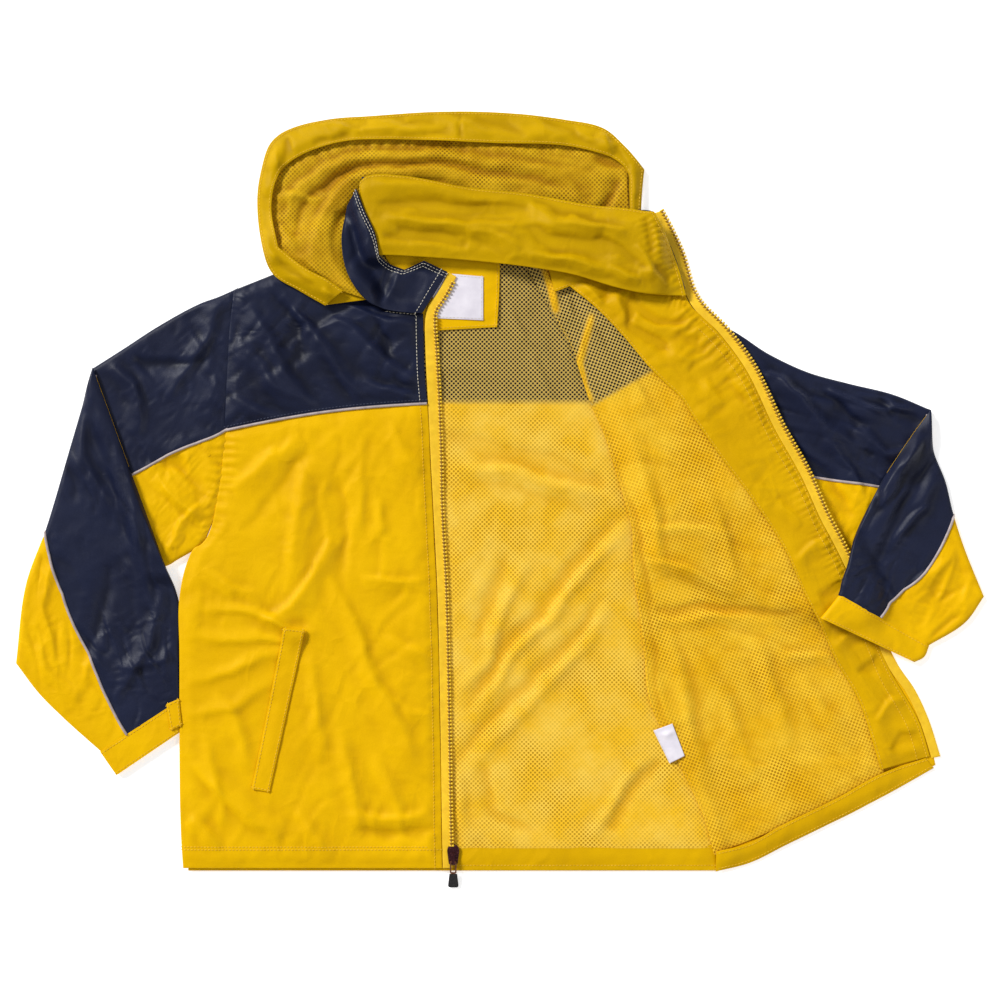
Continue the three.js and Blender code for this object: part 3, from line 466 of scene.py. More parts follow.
@dataclass
class Cut:
    """A panel's cut: sections that run across it from its first edge to its second.

    A section is x0, y0, x1, y1, bow and peak, and on a sleeve x0, y0, x1, y1, seam, bow and peak.
    """

    rows: Sequence[Sequence[float]]
    sleeve: bool = False

    def table(self) -> Array:
        """The sections with every column filled: x0, y0, x1, y1, bow, peak, seam."""
        filled = []
        for row in self.rows:
            x0, y0, x1, y1, *rest = row
            seam = rest.pop(0) if self.sleeve else 0.0
            bow = rest[0] if rest else 0.0
            peak = rest[1] if len(rest) > 1 else 0.5
            filled.append((x0, y0, x1, y1, bow, peak, seam))
        return np.array(filled, dtype=float)

    @staticmethod
    def edge(points: Array, low: Array, part: Array) -> Array:
        """Points of the smooth edge through a list of points, with its corners kept.

        Args:
            points: the list.
            low: the index of the segment for each wanted point.
            part: how far along the segment it is.

        Returns:
            The points.
        """
        chord = unit(np.diff(points, axis=0))
        start, end = chord.copy(), chord.copy()
        turn = (chord[:-1] * chord[1:]).sum(axis=1)
        mean = unit(chord[:-1] + chord[1:])
        smooth = turn >= CORNER
        start[1:][smooth] = mean[smooth]
        end[:-1][smooth] = mean[smooth]
        length = np.linalg.norm(points[low + 1] - points[low], axis=1, keepdims=True)
        t = part[:, None]
        return (points[low] * (2 * t**3 - 3 * t**2 + 1) + start[low] * length * (t**3 - 2 * t**2 + t)
                + points[low + 1] * (3 * t**2 - 2 * t**3) + end[low] * length * (t**3 - t**2))

    def sampled(self, step: float) -> Array:
        """Sections close together on the smooth edges.

        Args:
            step: the longest distance between two sections.

        Returns:
            The sections, with the same columns as table.
        """
        table = self.table()
        first, second = (np.hypot(*np.diff(table[:, k:k + 2], axis=0).T) for k in (0, 2))
        spans = np.maximum(first, second)
        low, part = [], []
        for k, span in enumerate(spans):
            count = max(1, math.ceil(span / step))
            parts = list(np.arange(count) / count)
            near = [e / span for e in EDGE_STEPS]
            if k == 0:
                parts = [parts[0], *[min(n, 0.4 / count) for n in near], *parts[1:]]
            if k == len(spans) - 1:
                parts += [1 - min(n, 0.4 / count) for n in reversed(near)] + [1.0]
            low += [k] * len(parts)
            part += parts
        low, part = np.array(low), np.array(part)
        first, second = self.edge(table[:, 0:2], low, part), self.edge(table[:, 2:4], low, part)
        rest = table[low, 4:] * (1 - part[:, None]) + table[low + 1, 4:] * part[:, None]
        return np.hstack([first, second, rest])

    def plan(self, sections: Array, fractions: Array) -> Array:
        """The points at fractions of the sections.

        Args:
            sections: as sampled gives them.
            fractions: one row of fractions for each section.

        Returns:
            Points x, y.
        """
        start, end = sections[:, None, 0:2], sections[:, None, 2:4]
        way = end - start
        across = unit(np.stack([-way[..., 1], way[..., 0]], axis=-1))
        peak = np.clip(sections[:, None, 5], 0.05, 0.95)
        power = np.log(0.5) / np.log(peak)
        swing = sections[:, None, 4] * np.sin(np.pi * np.clip(fractions, 0, 1) ** power)
        return start + way * fractions[..., None] + across * swing[..., None]


def spread(lengths: Array, step: float) -> Array:
    """Fractions across sections: close together at both edges, even between them.

    Args:
        lengths: the length of each section.
        step: the longest distance between two points.

    Returns:
        One row of fractions for each section.
    """
    core = np.linspace(0, 1, max(2, math.ceil(lengths.max() / step)) + 1)
    near = [np.minimum(e / lengths, k * core[1]) for e, k in zip(EDGE_STEPS, (0.2, 0.5))]
    inner = np.broadcast_to(core[1:-1], (len(lengths), len(core) - 2))
    ends = np.stack([np.zeros(len(lengths)), *near], axis=1)
    return np.hstack([ends, inner, 1 - ends[:, ::-1]])


def smooth_step(distance: Array, reach: float) -> Array:
    """Rises from 0 to 1 over the reach."""
    t = np.clip(distance / reach, 0, 1)
    return t * t * (3 - 2 * t)


# Meshes

def grid_faces(rows: int, columns: int, closed: bool) -> Array:
    """The quads of a grid of points.

    Args:
        rows: how many rows of points.
        columns: how many points in a row.
        closed: whether each row joins its own start.

    Returns:
        Four indices a quad.
    """
    i, j = np.meshgrid(np.arange(rows - 1), np.arange(columns if closed else columns - 1), indexing="ij")
    k = (j + 1) % columns
    corners = [i * columns + j, (i + 1) * columns + j, (i + 1) * columns + k, i * columns + k]
    return np.stack(corners, axis=-1).reshape(-1, 4)


def rim(rows: int, columns: int, closed: bool) -> list[Array]:
    """The loops of indices round the open sides of a grid."""
    index = np.arange(rows * columns).reshape(rows, columns)
    if closed:
        return [index[0], index[-1][::-1]]
    return [np.concatenate([index[0, :-1], index[:-1, -1], index[-1, :0:-1], index[:0:-1, 0]])]


def dips(height: Array, reach: int = 4) -> Array:
    """How much painted shade falls where a relief lies lower than what is round it.

    Args:
        height: the relief over a grid.
        reach: how many points away the surroundings are taken.

    Returns:
        From 0, level or raised, to 1, in a trough: the share of painted shade.
    """
    return np.clip((swept(height, reach, average, "edge") - height) / CREASE_SHADE_DEPTH, 0, 1)


def linked(name: str, data: bpy.types.ID) -> bpy.types.Object:
    """A new object of that data, linked to the scene."""
    made = bpy.data.objects.new(name, data)
    bpy.context.scene.collection.objects.link(made)
    return made


def baked(piece: bpy.types.Object) -> bpy.types.Mesh:
    """The mesh that an object's modifiers make of it."""
    depsgraph = bpy.context.evaluated_depsgraph_get()
    return bpy.data.meshes.new_from_object(piece.evaluated_get(depsgraph), depsgraph=depsgraph)


def wall_mesh(name: str, outer: Array, inner: Array, closed: bool, grain: float,
              **marks: Array | None) -> bpy.types.Object:
    """A closed wall between two grids of points.

    Args:
        name: the piece.
        outer: points in millimetres, rows by columns by three.
        inner: the same count of points.
        closed: whether each row joins its own start.
        grain: the turn of the weave in degrees.
        **marks: values for each outer point, kept as attributes of those names.

    Returns:
        The new object, in metres.
    """
    rows, columns = outer.shape[:2]
    points = np.vstack([outer.reshape(-1, 3), inner.reshape(-1, 3)]) * MM
    faces = grid_faces(rows, columns, closed)
    count = rows * columns
    sides = []
    for loop in rim(rows, columns, closed):
        after = np.roll(loop, -1)
        sides.append(np.stack([loop, after, after + count, loop + count], axis=1))
    quads = np.vstack([faces, faces[:, ::-1] + count, *sides])
    corners = points[quads]
    first = np.cross(corners[:, 1], corners[:, 2])
    second = np.cross(corners[:, 2], corners[:, 3])
    volume = (corners[:, 0] * (first + second)).sum()
    if volume < 0:
        quads = quads[:, ::-1]
    doubled = {key: np.concatenate([mark.ravel()] * 2) for key, mark in marks.items() if mark is not None}
    return quad_object(name, points, quads, grain, doubled)


def quad_object(name: str, points: Array, quads: Array, grain: float,
                marks: dict[str, Array]) -> bpy.types.Object:
    """An object of quads with its plan as UV map.

    Args:
        name: the piece.
        points: in metres.
        quads: four indices a face.
        grain: the turn of the weave in degrees.
        marks: a value for each point, by the name of its attribute.

    Returns:
        The new object, linked to the scene.
    """
    mesh = bpy.data.meshes.new(name)
    mesh.vertices.add(len(points))
    mesh.vertices.foreach_set("co", points.astype(np.float32).ravel())
    mesh.loops.add(quads.size)
    mesh.loops.foreach_set("vertex_index", quads.astype(np.int32).ravel())
    mesh.polygons.add(len(quads))
    mesh.polygons.foreach_set("loop_start", np.arange(0, quads.size, 4, dtype=np.int32))
    mesh.polygons.foreach_set("use_smooth", np.ones(len(quads), dtype=bool))
    mesh.update(calc_edges=True)
    turn = math.radians(grain)
    flat = points[:, :2] @ np.array([[math.cos(turn), -math.sin(turn)], [math.sin(turn), math.cos(turn)]])
    mesh.uv_layers.new(name="plan").data.foreach_set("uv", flat[quads.ravel()].astype(np.float32).ravel())
    for key, mark in marks.items():
        mesh.attributes.new(key, "FLOAT", "POINT").data.foreach_set("value", mark.astype(np.float32))
    mesh.validate()
    return linked(name, mesh)


# Materials

def plug(tree: NodeTree, socket: Socket, value: object) -> None:
    """Links a socket to an input, or sets the input to a value."""
    if isinstance(value, bpy.types.NodeSocket):
        tree.links.new(value, socket)
    else:
        socket.default_value = value


def new_node(tree: NodeTree, kind: str, inputs: dict | None, settings: dict[str, object]) -> bpy.types.Node:
    """A node in a tree.

    Args:
        tree: the node tree.
        kind: the node's class.
        inputs: values or sockets by the input's name or number.
        settings: its own settings.

    Returns:
        The node.
    """
    node = tree.nodes.new(kind)
    for key, value in settings.items():
        setattr(node, key, value)
    for key, value in (inputs or {}).items():
        plug(tree, node.inputs[key], value)
    return node


class Graph:
    """A material's node tree, with short calls for its nodes."""

    def __init__(self, name: str) -> None:
        """An empty material of that name."""
        self.material = bpy.data.materials.new(name)
        self.material.use_nodes = True
        self.tree = self.material.node_tree
        self.shader = self.tree.nodes["Principled BSDF"]
        self.place = self.add("ShaderNodeUVMap", uv_map="plan").outputs["UV"]

    def add(self, kind: str, inputs: dict | None = None, **settings: object) -> bpy.types.Node:
        """A node of the material, as new_node makes one."""
        return new_node(self.tree, kind, inputs, settings)

    def math(self, operation: str, *values: object) -> Socket:
        """One sum on numbers or sockets."""
        return self.add("ShaderNodeMath", dict(enumerate(values)), operation=operation).outputs[0]

    def noise(self, scale: float, detail: float = 3.0, rough: float = 0.55,
              place: Socket | None = None) -> Socket:
        """Noise from 0 to 1, scale in cells a metre."""
        inputs = {"Vector": place or self.place, "Scale": scale, "Detail": detail, "Roughness": rough}
        return self.add("ShaderNodeTexNoise", inputs).outputs["Fac"]

    def span(self, value: object, low: float, high: float, to_low: float, to_high: float) -> Socket:
        """Carries a range of values over to another."""
        inputs = {"Value": value, "From Min": low, "From Max": high, "To Min": to_low, "To Max": to_high}
        return self.add("ShaderNodeMapRange", inputs).outputs["Result"]

    def mark(self, name: str) -> Socket:
        """The values that a mesh keeps under a name."""
        return self.add("ShaderNodeAttribute", attribute_name=name).outputs["Fac"]

    def blend(self, amount: object, first: object, second: object) -> Socket:
        """Mixes two colours."""
        return self.add("ShaderNodeMix", {0: amount, 6: first, 7: second}, data_type="RGBA").outputs[2]

    def bump(self, height: object, depth: float, after: Socket | None = None) -> Socket:
        """A bump of that depth in metres, over another one if given."""
        inputs = {"Height": height, "Distance": depth, "Strength": 1.0}
        if after is not None:
            inputs["Normal"] = after
        return self.add("ShaderNodeBump", inputs).outputs["Normal"]

    def weave(self, pitch: float) -> Socket:
        """Threads that cross at right angles, as a height from 0 to 1."""
        parts = self.add("ShaderNodeSeparateXYZ", {0: self.place}).outputs
        turns = 2 * math.pi / pitch
        warp = self.math("SINE", self.math("MULTIPLY", parts[0], turns))
        weft = self.math("SINE", self.math("MULTIPLY", parts[1], turns))
        return self.math("MULTIPLY_ADD", self.math("MULTIPLY", warp, weft), 0.5, 0.5)

    def dress(self, **values: object) -> bpy.types.Material:
        """Sets the shader's sockets, each by its name with underscores."""
        for key, value in values.items():
            plug(self.tree, self.shader.inputs[key.replace("_", " ")], value)
        return self.material


@dataclass(frozen=True)
class CoatedCloth:
    """Woven nylon with a coating: a fine weave, small crinkles, a soft gloss and painted shade in its
    creases.
    """

    name: str
    light: Colour
    dark: Colour
    crease_shade_colour: Colour
    roughness: float = 0.5
    gloss: float = 0.06
    crinkle: float = 0.00035
    roughness_swing: float = 0.07
    weave_pitch: float = 0.0009
    weave_depth: float = 0.00003

    def material(self) -> bpy.types.Material:
        """The finish as a material."""
        g = Graph(self.name)
        mixed = g.math("MULTIPLY_ADD", g.noise(900, 2, 0.7), 0.35,
                       g.math("MULTIPLY", g.noise(14, 4, 0.6), 0.65))
        colour = g.blend(g.span(mixed, 0.35, 0.65, 0, 1), self.light, self.dark)
        # Painted shade: the colour goes towards the shade colour in creases and troughs.
        colour = g.blend(g.math("MULTIPLY", g.mark("dip"), 0.6), colour, self.crease_shade_colour)
        bent = g.add("ShaderNodeTexNoise", {"Vector": g.place, "Scale": 30, "Detail": 2}).outputs["Color"]
        shift = g.add("ShaderNodeVectorMath", {0: bent, 1: (0.02, 0.02, 0.02)},
                      operation="MULTIPLY").outputs[0]
        warp = g.add("ShaderNodeVectorMath", {0: g.place, 1: shift}, operation="ADD").outputs[0]
        cells = g.add("ShaderNodeTexVoronoi", {"Vector": warp, "Scale": 42}, feature="DISTANCE_TO_EDGE")
        lines = g.span(cells.outputs["Distance"], 0.0, 0.22, 1, 0)
        where = g.span(g.noise(18, 2), 0.42, 0.62, 0, 1)
        normal = g.bump(g.math("MULTIPLY", lines, where), self.crinkle)
        normal = g.bump(g.noise(120, 3, 0.6), 0.00022, normal)
        normal = g.bump(g.weave(self.weave_pitch), self.weave_depth, normal)
        calm, coarse = self.roughness - self.roughness_swing, self.roughness + self.roughness_swing
        rough = g.span(g.noise(45, 3), 0.3, 0.7, calm, coarse)
        return g.dress(Base_Color=colour, Roughness=rough, Normal=normal, Specular_IOR_Level=self.gloss)


@dataclass(frozen=True)
class NetCloth:
    """Knitted net with rounded holes in slanting rows, through which the cloth behind shows, darkened by
    painted shade; painted shade also darkens its creases.
    """

    name: str
    yarn: Colour
    yarn_dark: Colour
    hole_yellow: Colour
    hole_navy: Colour
    yarn_navy: Colour
    crease_shade_colour: Colour
    closed: float = 0.3
    pitch: float = 0.0028

    def material(self) -> bpy.types.Material:
        """The finish as a material."""
        g = Graph(self.name)
        slant = g.add("ShaderNodeVectorRotate", {"Vector": g.place, "Angle": math.pi / 4},
                      rotation_type="Z_AXIS")
        parts = g.add("ShaderNodeSeparateXYZ", {0: slant.outputs[0]}).outputs
        turns = 2 * math.pi / self.pitch
        waves = g.math("ADD", g.math("COSINE", g.math("MULTIPLY", parts[0], turns)),
                       g.math("COSINE", g.math("MULTIPLY", parts[1], turns)))
        under = g.mark("under")
        hole = g.span(g.math("MULTIPLY_ADD", under, 0.22, waves), 0.15, 0.8, 0, 1)
        close = g.span(g.noise(16, 3), 0.38, 0.62, self.closed, 1.0)
        depth = g.math("MAXIMUM", close, under)
        yarn = g.blend(g.span(g.noise(30, 4), 0.35, 0.65, 0, 1), self.yarn, self.yarn_dark)
        # Painted shade: the yarn goes towards the shade colour in creases and troughs.
        yarn = g.blend(g.math("MULTIPLY", g.mark("dip"), 0.8), yarn, self.crease_shade_colour)
        yarn = g.blend(under, yarn, self.yarn_navy)
        # The cloth seen through the holes, darker than it is as painted shade under the net.
        behind = g.blend(under, self.hole_yellow, self.hole_navy)
        colour = g.blend(g.math("MULTIPLY", hole, depth), yarn, behind)
        normal = g.bump(g.noise(70, 3, 0.6), 0.0003)
        normal = g.bump(g.math("SUBTRACT", 1, hole), 0.00045, normal)
        return g.dress(Base_Color=colour, Roughness=0.62, Normal=normal, Specular_IOR_Level=0.1)


@dataclass(frozen=True)
class RibbedTrim:
    """Narrow trim with fine ribs: piping cord, zip tape, thread or moulded teeth."""

    name: str
    light: Colour
    dark: Colour
    roughness: float
    rib: float = 0.0008
    rib_depth: float = 0.00005

    def material(self) -> bpy.types.Material:
        """The finish as a material."""
        g = Graph(self.name)
        parts = g.add("ShaderNodeSeparateXYZ", {0: g.place}).outputs
        turns = g.math("MULTIPLY", g.math("ADD", parts[0], parts[1]), 2 * math.pi / self.rib)
        ribs = g.math("MULTIPLY_ADD", g.math("SINE", turns), 0.5, 0.5)
        colour = g.blend(g.span(g.noise(150, 3), 0.3, 0.7, 0, 1), self.light, self.dark)
        normal = g.bump(ribs, self.rib_depth)
        return g.dress(Base_Color=colour, Roughness=self.roughness, Normal=normal)


@dataclass(frozen=True)
class Satin:
    """A woven satin label, bare."""

    name: str
    light: Colour
    dark: Colour

    def material(self) -> bpy.types.Material:
        """The finish as a material."""
        g = Graph(self.name)
        colour = g.blend(g.span(g.noise(60, 3), 0.35, 0.65, 0, 1), self.light, self.dark)
        normal = g.bump(g.weave(0.0007), 0.00004)
        normal = g.bump(g.noise(140, 2), 0.00025, normal)
        return g.dress(Base_Color=colour, Roughness=0.42, Normal=normal, Sheen_Weight=0.2)


@dataclass(frozen=True)
class Hardware:
    """Lacquered metal or rubber with worn edges and small scratches."""

    name: str
    light: Colour
    dark: Colour
    metallic: float
    roughness: float

    def material(self) -> bpy.types.Material:
        """The finish as a material."""
        g = Graph(self.name)
        place = g.add("ShaderNodeTexCoord").outputs["Object"]
        wear = g.noise(700, 4, 0.6, place)
        colour = g.blend(g.span(wear, 0.5, 0.75, 0, 1), self.dark, self.light)
        rough = g.span(g.noise(1200, 3, 0.6, place), 0.3, 0.7, self.roughness - 0.08, self.roughness + 0.12)
        normal = g.bump(g.noise(2500, 2, 0.5, place), 0.00003)
        return g.dress(Base_Color=colour, Metallic=self.metallic, Roughness=rough, Normal=normal)


Finish = CoatedCloth | NetCloth | RibbedTrim | Satin | Hardware

YELLOW = CoatedCloth("yellow_coated_nylon", (0.84, 0.488, 0.0, 1), (0.725, 0.4, 0.0, 1), (0.5, 0.25, 0.0, 1))
# A darker copy of the yellow nylon, as painted shade: for the facing and the hems.
HALF_SHADED = CoatedCloth("yellow_nylon_painted_half_shade",
                    (0.715, 0.41, 0.0, 1), (0.59, 0.325, 0.0, 1), (0.38, 0.18, 0.0, 1))
# A darker copy again, as painted shade: for the hood and the collar.
SHADED = CoatedCloth("yellow_nylon_painted_shade",
                     (0.605, 0.36, 0.0, 1), (0.475, 0.275, 0.0, 1), (0.25, 0.125, 0.0, 1))
NAVY = CoatedCloth("navy_coated_nylon", (0.0092, 0.0135, 0.04, 1), (0.0046, 0.007, 0.024, 1),
                   (0.001, 0.0014, 0.005, 1), 0.47, 0.21, 0.00021)
NET = NetCloth("yellow_net_lining", (0.97, 0.63, 0.075, 1), (0.93, 0.54, 0.02, 1), (0.5, 0.25, 0.004, 1),
               (0.008, 0.006, 0.008, 1), (0.57, 0.39, 0.09, 1), (0.74, 0.36, 0.004, 1))
FRONT_NET = NetCloth("yellow_net_of_front", (0.93, 0.57, 0.03, 1), (0.84, 0.46, 0.006, 1),
                     (0.45, 0.2, 0.002, 1), (0.008, 0.006, 0.008, 1), (0.57, 0.39, 0.09, 1),
                     (0.6, 0.27, 0.003, 1))
# A darker copy of the net, as painted shade for the hood's lining.
SHADED_HOOD_NET = NetCloth("yellow_net_painted_shade", (0.69, 0.41, 0.008, 1), (0.54, 0.29, 0.003, 1),
                    (0.2, 0.09, 0.001, 1), (0.008, 0.006, 0.008, 1), (0.5, 0.36, 0.085, 1),
                    (0.36, 0.16, 0.001, 1), 0.05)
CORD = RibbedTrim("grey_reflective_piping", (0.5, 0.42, 0.4, 1), (0.33, 0.27, 0.27, 1), 0.38)
TAPE = RibbedTrim("yellow_woven_tape", (0.9, 0.56, 0.006, 1), (0.78, 0.46, 0.003, 1), 0.68)
TEETH = RibbedTrim("yellow_moulded_teeth", (0.88, 0.56, 0.02, 1), (0.8, 0.5, 0.01, 1), 0.3, 0.0009, 0.00001)
# The tape's edge cord under the teeth; its dark colour is painted shade between the teeth.
EDGE_CORD_SHADE = RibbedTrim("edge_cord_with_painted_shade", (0.34, 0.17, 0.006, 1), (0.22, 0.1, 0.003, 1), 0.7)
CREAM = RibbedTrim("cream_thread", (0.78, 0.74, 0.62, 1), (0.6, 0.55, 0.44, 1), 0.6, 0.0005)
THREAD = RibbedTrim("yellow_thread", (0.95, 0.6, 0.03, 1), (0.7, 0.4, 0.004, 1), 0.6, 0.0005)
NAVY_THREAD = RibbedTrim("navy_thread", (0.05, 0.06, 0.11, 1), (0.03, 0.035, 0.07, 1), 0.6, 0.0005)
SATIN = Satin("white_satin", (0.83, 0.79, 0.86, 1), (0.72, 0.68, 0.76, 1))
METAL = Hardware("burgundy_lacquered_metal", (0.22, 0.07, 0.08, 1), (0.05, 0.012, 0.016, 1), 0.7, 0.2)
WIRE = Hardware("copper_brown_wire", (0.42, 0.2, 0.12, 1), (0.2, 0.075, 0.04, 1), 0.7, 0.3)
RUBBER = Hardware("black_moulded_rubber", (0.03, 0.028, 0.03, 1), (0.01, 0.009, 0.01, 1), 0.0, 0.42)


# Things that repeat along a line

class Tree:
    """A Geometry Nodes tree in the making, with named inputs."""

    def __init__(self, name: str) -> None:
        """A tree with one line as input and the finished shape as output."""
        self.group = bpy.data.node_groups.new(name, "GeometryNodeTree")
        self.group.interface.new_socket("Line", in_out="INPUT", socket_type="NodeSocketGeometry")
        self.group.interface.new_socket("Shape", in_out="OUTPUT", socket_type="NodeSocketGeometry")
        self.entry = self.group.nodes.new("NodeGroupInput")
        self.exit = self.group.nodes.new("NodeGroupOutput")

    def size(self, name: str) -> Socket:
        """A new input for a size, in metres."""
        self.group.interface.new_socket(name, in_out="INPUT", socket_type="NodeSocketFloat")
        return self.entry.outputs[name]

    def finish(self, name: str) -> Socket:
        """A new input for a material."""
        self.group.interface.new_socket(name, in_out="INPUT", socket_type="NodeSocketMaterial")
        return self.entry.outputs[name]

    def add(self, kind: str, inputs: dict | None = None, **settings: object) -> bpy.types.Node:
        """A node of the tree, as new_node makes one."""
        return new_node(self.group, kind, inputs, settings)

    def curve(self) -> Socket:
        """The input line as a curve."""
        return self.add("GeometryNodeMeshToCurve", {"Mesh": self.entry.outputs["Line"]}).outputs[0]

    def tube(self, line: Socket, radius: Socket) -> Socket:
        """A round tube along a curve, with closed ends."""
        ring = self.add("GeometryNodeCurvePrimitiveCircle", {"Resolution": 8, "Radius": radius}).outputs[0]
        inputs = {"Curve": line, "Profile Curve": ring, "Fill Caps": True}
        return self.add("GeometryNodeCurveToMesh", inputs).outputs[0]

    def strung(self, line: Socket, pitch: Socket, bead: Socket, axis: str,
               scale: Socket | None = None) -> Socket:
        """Copies of a shape at a pitch along a curve, with one of their axes turned to run along it."""
        dots = self.add("GeometryNodeResampleCurve", {"Curve": line, "Length": pitch},
                        mode="LENGTH").outputs[0]
        way = self.add("GeometryNodeInputTangent").outputs[0]
        turn = self.add("FunctionNodeAlignRotationToVector", {"Vector": way}, axis=axis).outputs[0]
        inputs = {"Points": dots, "Instance": bead, "Rotation": turn}
        if scale is not None:
            inputs["Scale"] = scale
        return self.add("GeometryNodeInstanceOnPoints", inputs).outputs[0]

    def joined(self, *shapes: Socket) -> Socket:
        """Several shapes as one."""
        node = self.add("GeometryNodeJoinGeometry")
        for shape in shapes:
            self.group.links.new(shape, node.inputs[0])
        return node.outputs[0]

    def close(self, shape: Socket, material: Socket | None = None) -> NodeTree:
        """Realizes the instances, sets the material if one is given and joins the output."""
        real = self.add("GeometryNodeRealizeInstances", {"Geometry": shape}).outputs[0]
        worn = self.add("GeometryNodeSetShadeSmooth", {"Geometry": real}).outputs[0]
        if material is not None:
            worn = self.add("GeometryNodeSetMaterial", {"Geometry": worn, "Material": material}).outputs[0]
        self.group.links.new(worn, self.exit.inputs[0])
        return self.group


def stitch_tree() -> NodeTree:
    """Stitches: small thread capsules along a line."""
    tree = Tree("stitches")
    pitch, length, width = tree.size("Pitch"), tree.size("Length"), tree.size("Width")
    thread = tree.finish("Thread")
    ball = tree.add("GeometryNodeMeshUVSphere", {"Segments": 6, "Rings": 4, "Radius": 0.5}).outputs[0]
    size = tree.add("ShaderNodeCombineXYZ", {0: width, 1: width, 2: length}).outputs[0]
    return tree.close(tree.strung(tree.curve(), pitch, ball, "Z", size), thread)


def teeth_tree() -> NodeTree:
    """Zip teeth: moulded bars with a bead at the end, across the cord of a tape's edge; the cord's dark
    colour is painted shade between the teeth.
    """
    tree = Tree("zip_teeth")
    pitch, reach, width = (tree.size(n) for n in ("Pitch", "Reach", "Width"))
    plastic, cord = tree.finish("Plastic"), tree.finish("Cord")
    line = tree.curve()
    half = tree.add("ShaderNodeMath", {0: width, 1: 0.5}, operation="MULTIPLY").outputs[0]
    bar = tree.add("GeometryNodeMeshCylinder", {"Vertices": 8, "Radius": half, "Depth": reach}).outputs[0]
    laid = tree.add("GeometryNodeTransform", {"Geometry": bar, "Rotation": (0, math.pi / 2, 0)}).outputs[0]
    bead_radius = tree.add("ShaderNodeMath", {0: width, 1: 0.62}, operation="MULTIPLY").outputs[0]
    bead = tree.add("GeometryNodeMeshUVSphere", {"Segments": 8, "Rings": 6, "Radius": bead_radius}).outputs[0]
    end = tree.add("ShaderNodeMath", {0: reach, 1: 0.5}, operation="MULTIPLY").outputs[0]
    out = tree.add("ShaderNodeCombineXYZ", {0: end}).outputs[0]
    moved = tree.add("GeometryNodeTransform", {"Geometry": bead, "Translation": out}).outputs[0]
    placed = tree.strung(line, pitch, tree.joined(laid, moved), "Y")
    # The edge cord, dark as painted shade between the teeth.
    dark = tree.add("GeometryNodeSetMaterial",
                    {"Geometry": tree.tube(line, half), "Material": cord}).outputs[0]
    shine = tree.add("GeometryNodeSetMaterial", {"Geometry": placed, "Material": plastic}).outputs[0]
    return tree.close(tree.joined(dark, shine))


def cord_tree() -> NodeTree:
    """A round cord along a line, with closed ends."""
    tree = Tree("cord")
    radius, cover = tree.size("Radius"), tree.finish("Cover")
    return tree.close(tree.tube(tree.curve(), radius), cover)


def grown(name: str, tree: NodeTree, lines: Sequence[Array], inputs: dict[str, object]) -> bpy.types.Object:
    """Runs a tree along lines and keeps the result as a plain mesh.

    Args:
        name: the piece.
        tree: what to grow.
        lines: points in millimetres, one array a line.
        inputs: the tree's inputs by name, sizes in metres.

    Returns:
        The new object.
    """
    points = np.vstack(lines) * MM
    edges, start = [], 0
    for line in lines:
        edges += [(k, k + 1) for k in range(start, start + len(line) - 1)]
        start += len(line)
    mesh = bpy.data.meshes.new(name + "_line")
    mesh.from_pydata(points.tolist(), edges, [])
    seed = linked(name + "_line", mesh)
    modifier = seed.modifiers.new("grow", "NODES")
    modifier.node_group = tree
    for item in tree.interface.items_tree:
        if item.item_type == "SOCKET" and item.in_out == "INPUT" and item.name in inputs:
            modifier[item.identifier] = inputs[item.name]
    result = baked(seed)
    made = linked(name, result)
    bpy.data.objects.remove(seed)
    spots = np.zeros(len(result.vertices) * 3, dtype=np.float32)
    result.vertices.foreach_get("co", spots)
    corners = np.zeros(len(result.loops), dtype=np.int32)
    result.loops.foreach_get("vertex_index", corners)
    for layer in list(result.uv_layers):
        result.uv_layers.remove(layer)
    plan = spots.reshape(-1, 3)[corners, :2]
    result.uv_layers.new(name="plan").data.foreach_set("uv", plan.ravel())
    return made


# The maker

@dataclass
class Panel:
    """A piece of cloth that is laid: the grid of its upper face and its object."""

    top: Array
    piece: bpy.types.Object

    def _row(self, i: int, distance: float, from_end: bool) -> Array:
        """The point of row i that lies a distance inside one of its ends."""
        row = self.top[i][::-1] if from_end else self.top[i]
        run = run_along(row[:, :2])
        return np.array([np.interp(distance, run, row[:, k]) for k in range(3)])

    def along(self, inset: float, second: bool = False, start: float = 0.0, end: float = 1.0,
              lift: float = 0.15) -> Array:
        """A line on the cloth beside its first or second edge.

        Args:
            inset: the distance inside the edge.
            second: whether it follows the second edge.
            start: where it starts, as a share of the rows.
            end: where it ends.
            lift: how far above the cloth it runs.

        Returns:
            The line's points.
        """
        rows = range(int(start * (len(self.top) - 1)), int(end * (len(self.top) - 1)) + 1)
        line = np.array([self._row(i, inset, second) for i in rows])
        return thinned(line + (0, 0, lift))

    def across(self, inset: float, last: bool = False, start: float = 0.0, end: float = 1.0) -> Array:
        """A line on the cloth beside its first or last section, as along gives one."""
        return Panel(self.top.transpose(1, 0, 2), self.piece).along(inset, last, start, end)

    def round_it(self, inset: float) -> list[Array]:
        """Lines beside all four of its edges."""
        return [self.along(inset), self.along(inset, True), self.across(inset), self.across(inset, True)]


def thinned(line: Array, step: float = 1.0) -> Array:
    """The line without points that stand closer than a step."""
    kept = [line[0]]
    for point in line[1:]:
        if np.linalg.norm(point - kept[-1]) >= step:
            kept.append(point)
    return np.array(kept)


def resampled(line: Array, count: int) -> Array:
    """The line with a given count of points, evenly spaced."""
    run = run_along(line)
    wanted = np.linspace(0, run[-1], count)
    return np.stack([np.interp(wanted, run, line[:, k]) for k in range(3)], axis=1)


SEAT_REACH = 24.0
THIN_EDGE = 0.12
LEAST_SHARE = 0.31
STITCH_PITCH, STITCH = 3.1, 2.5
TOOTH_PITCH, TOOTH_WIDTH = 3.3, 1.9


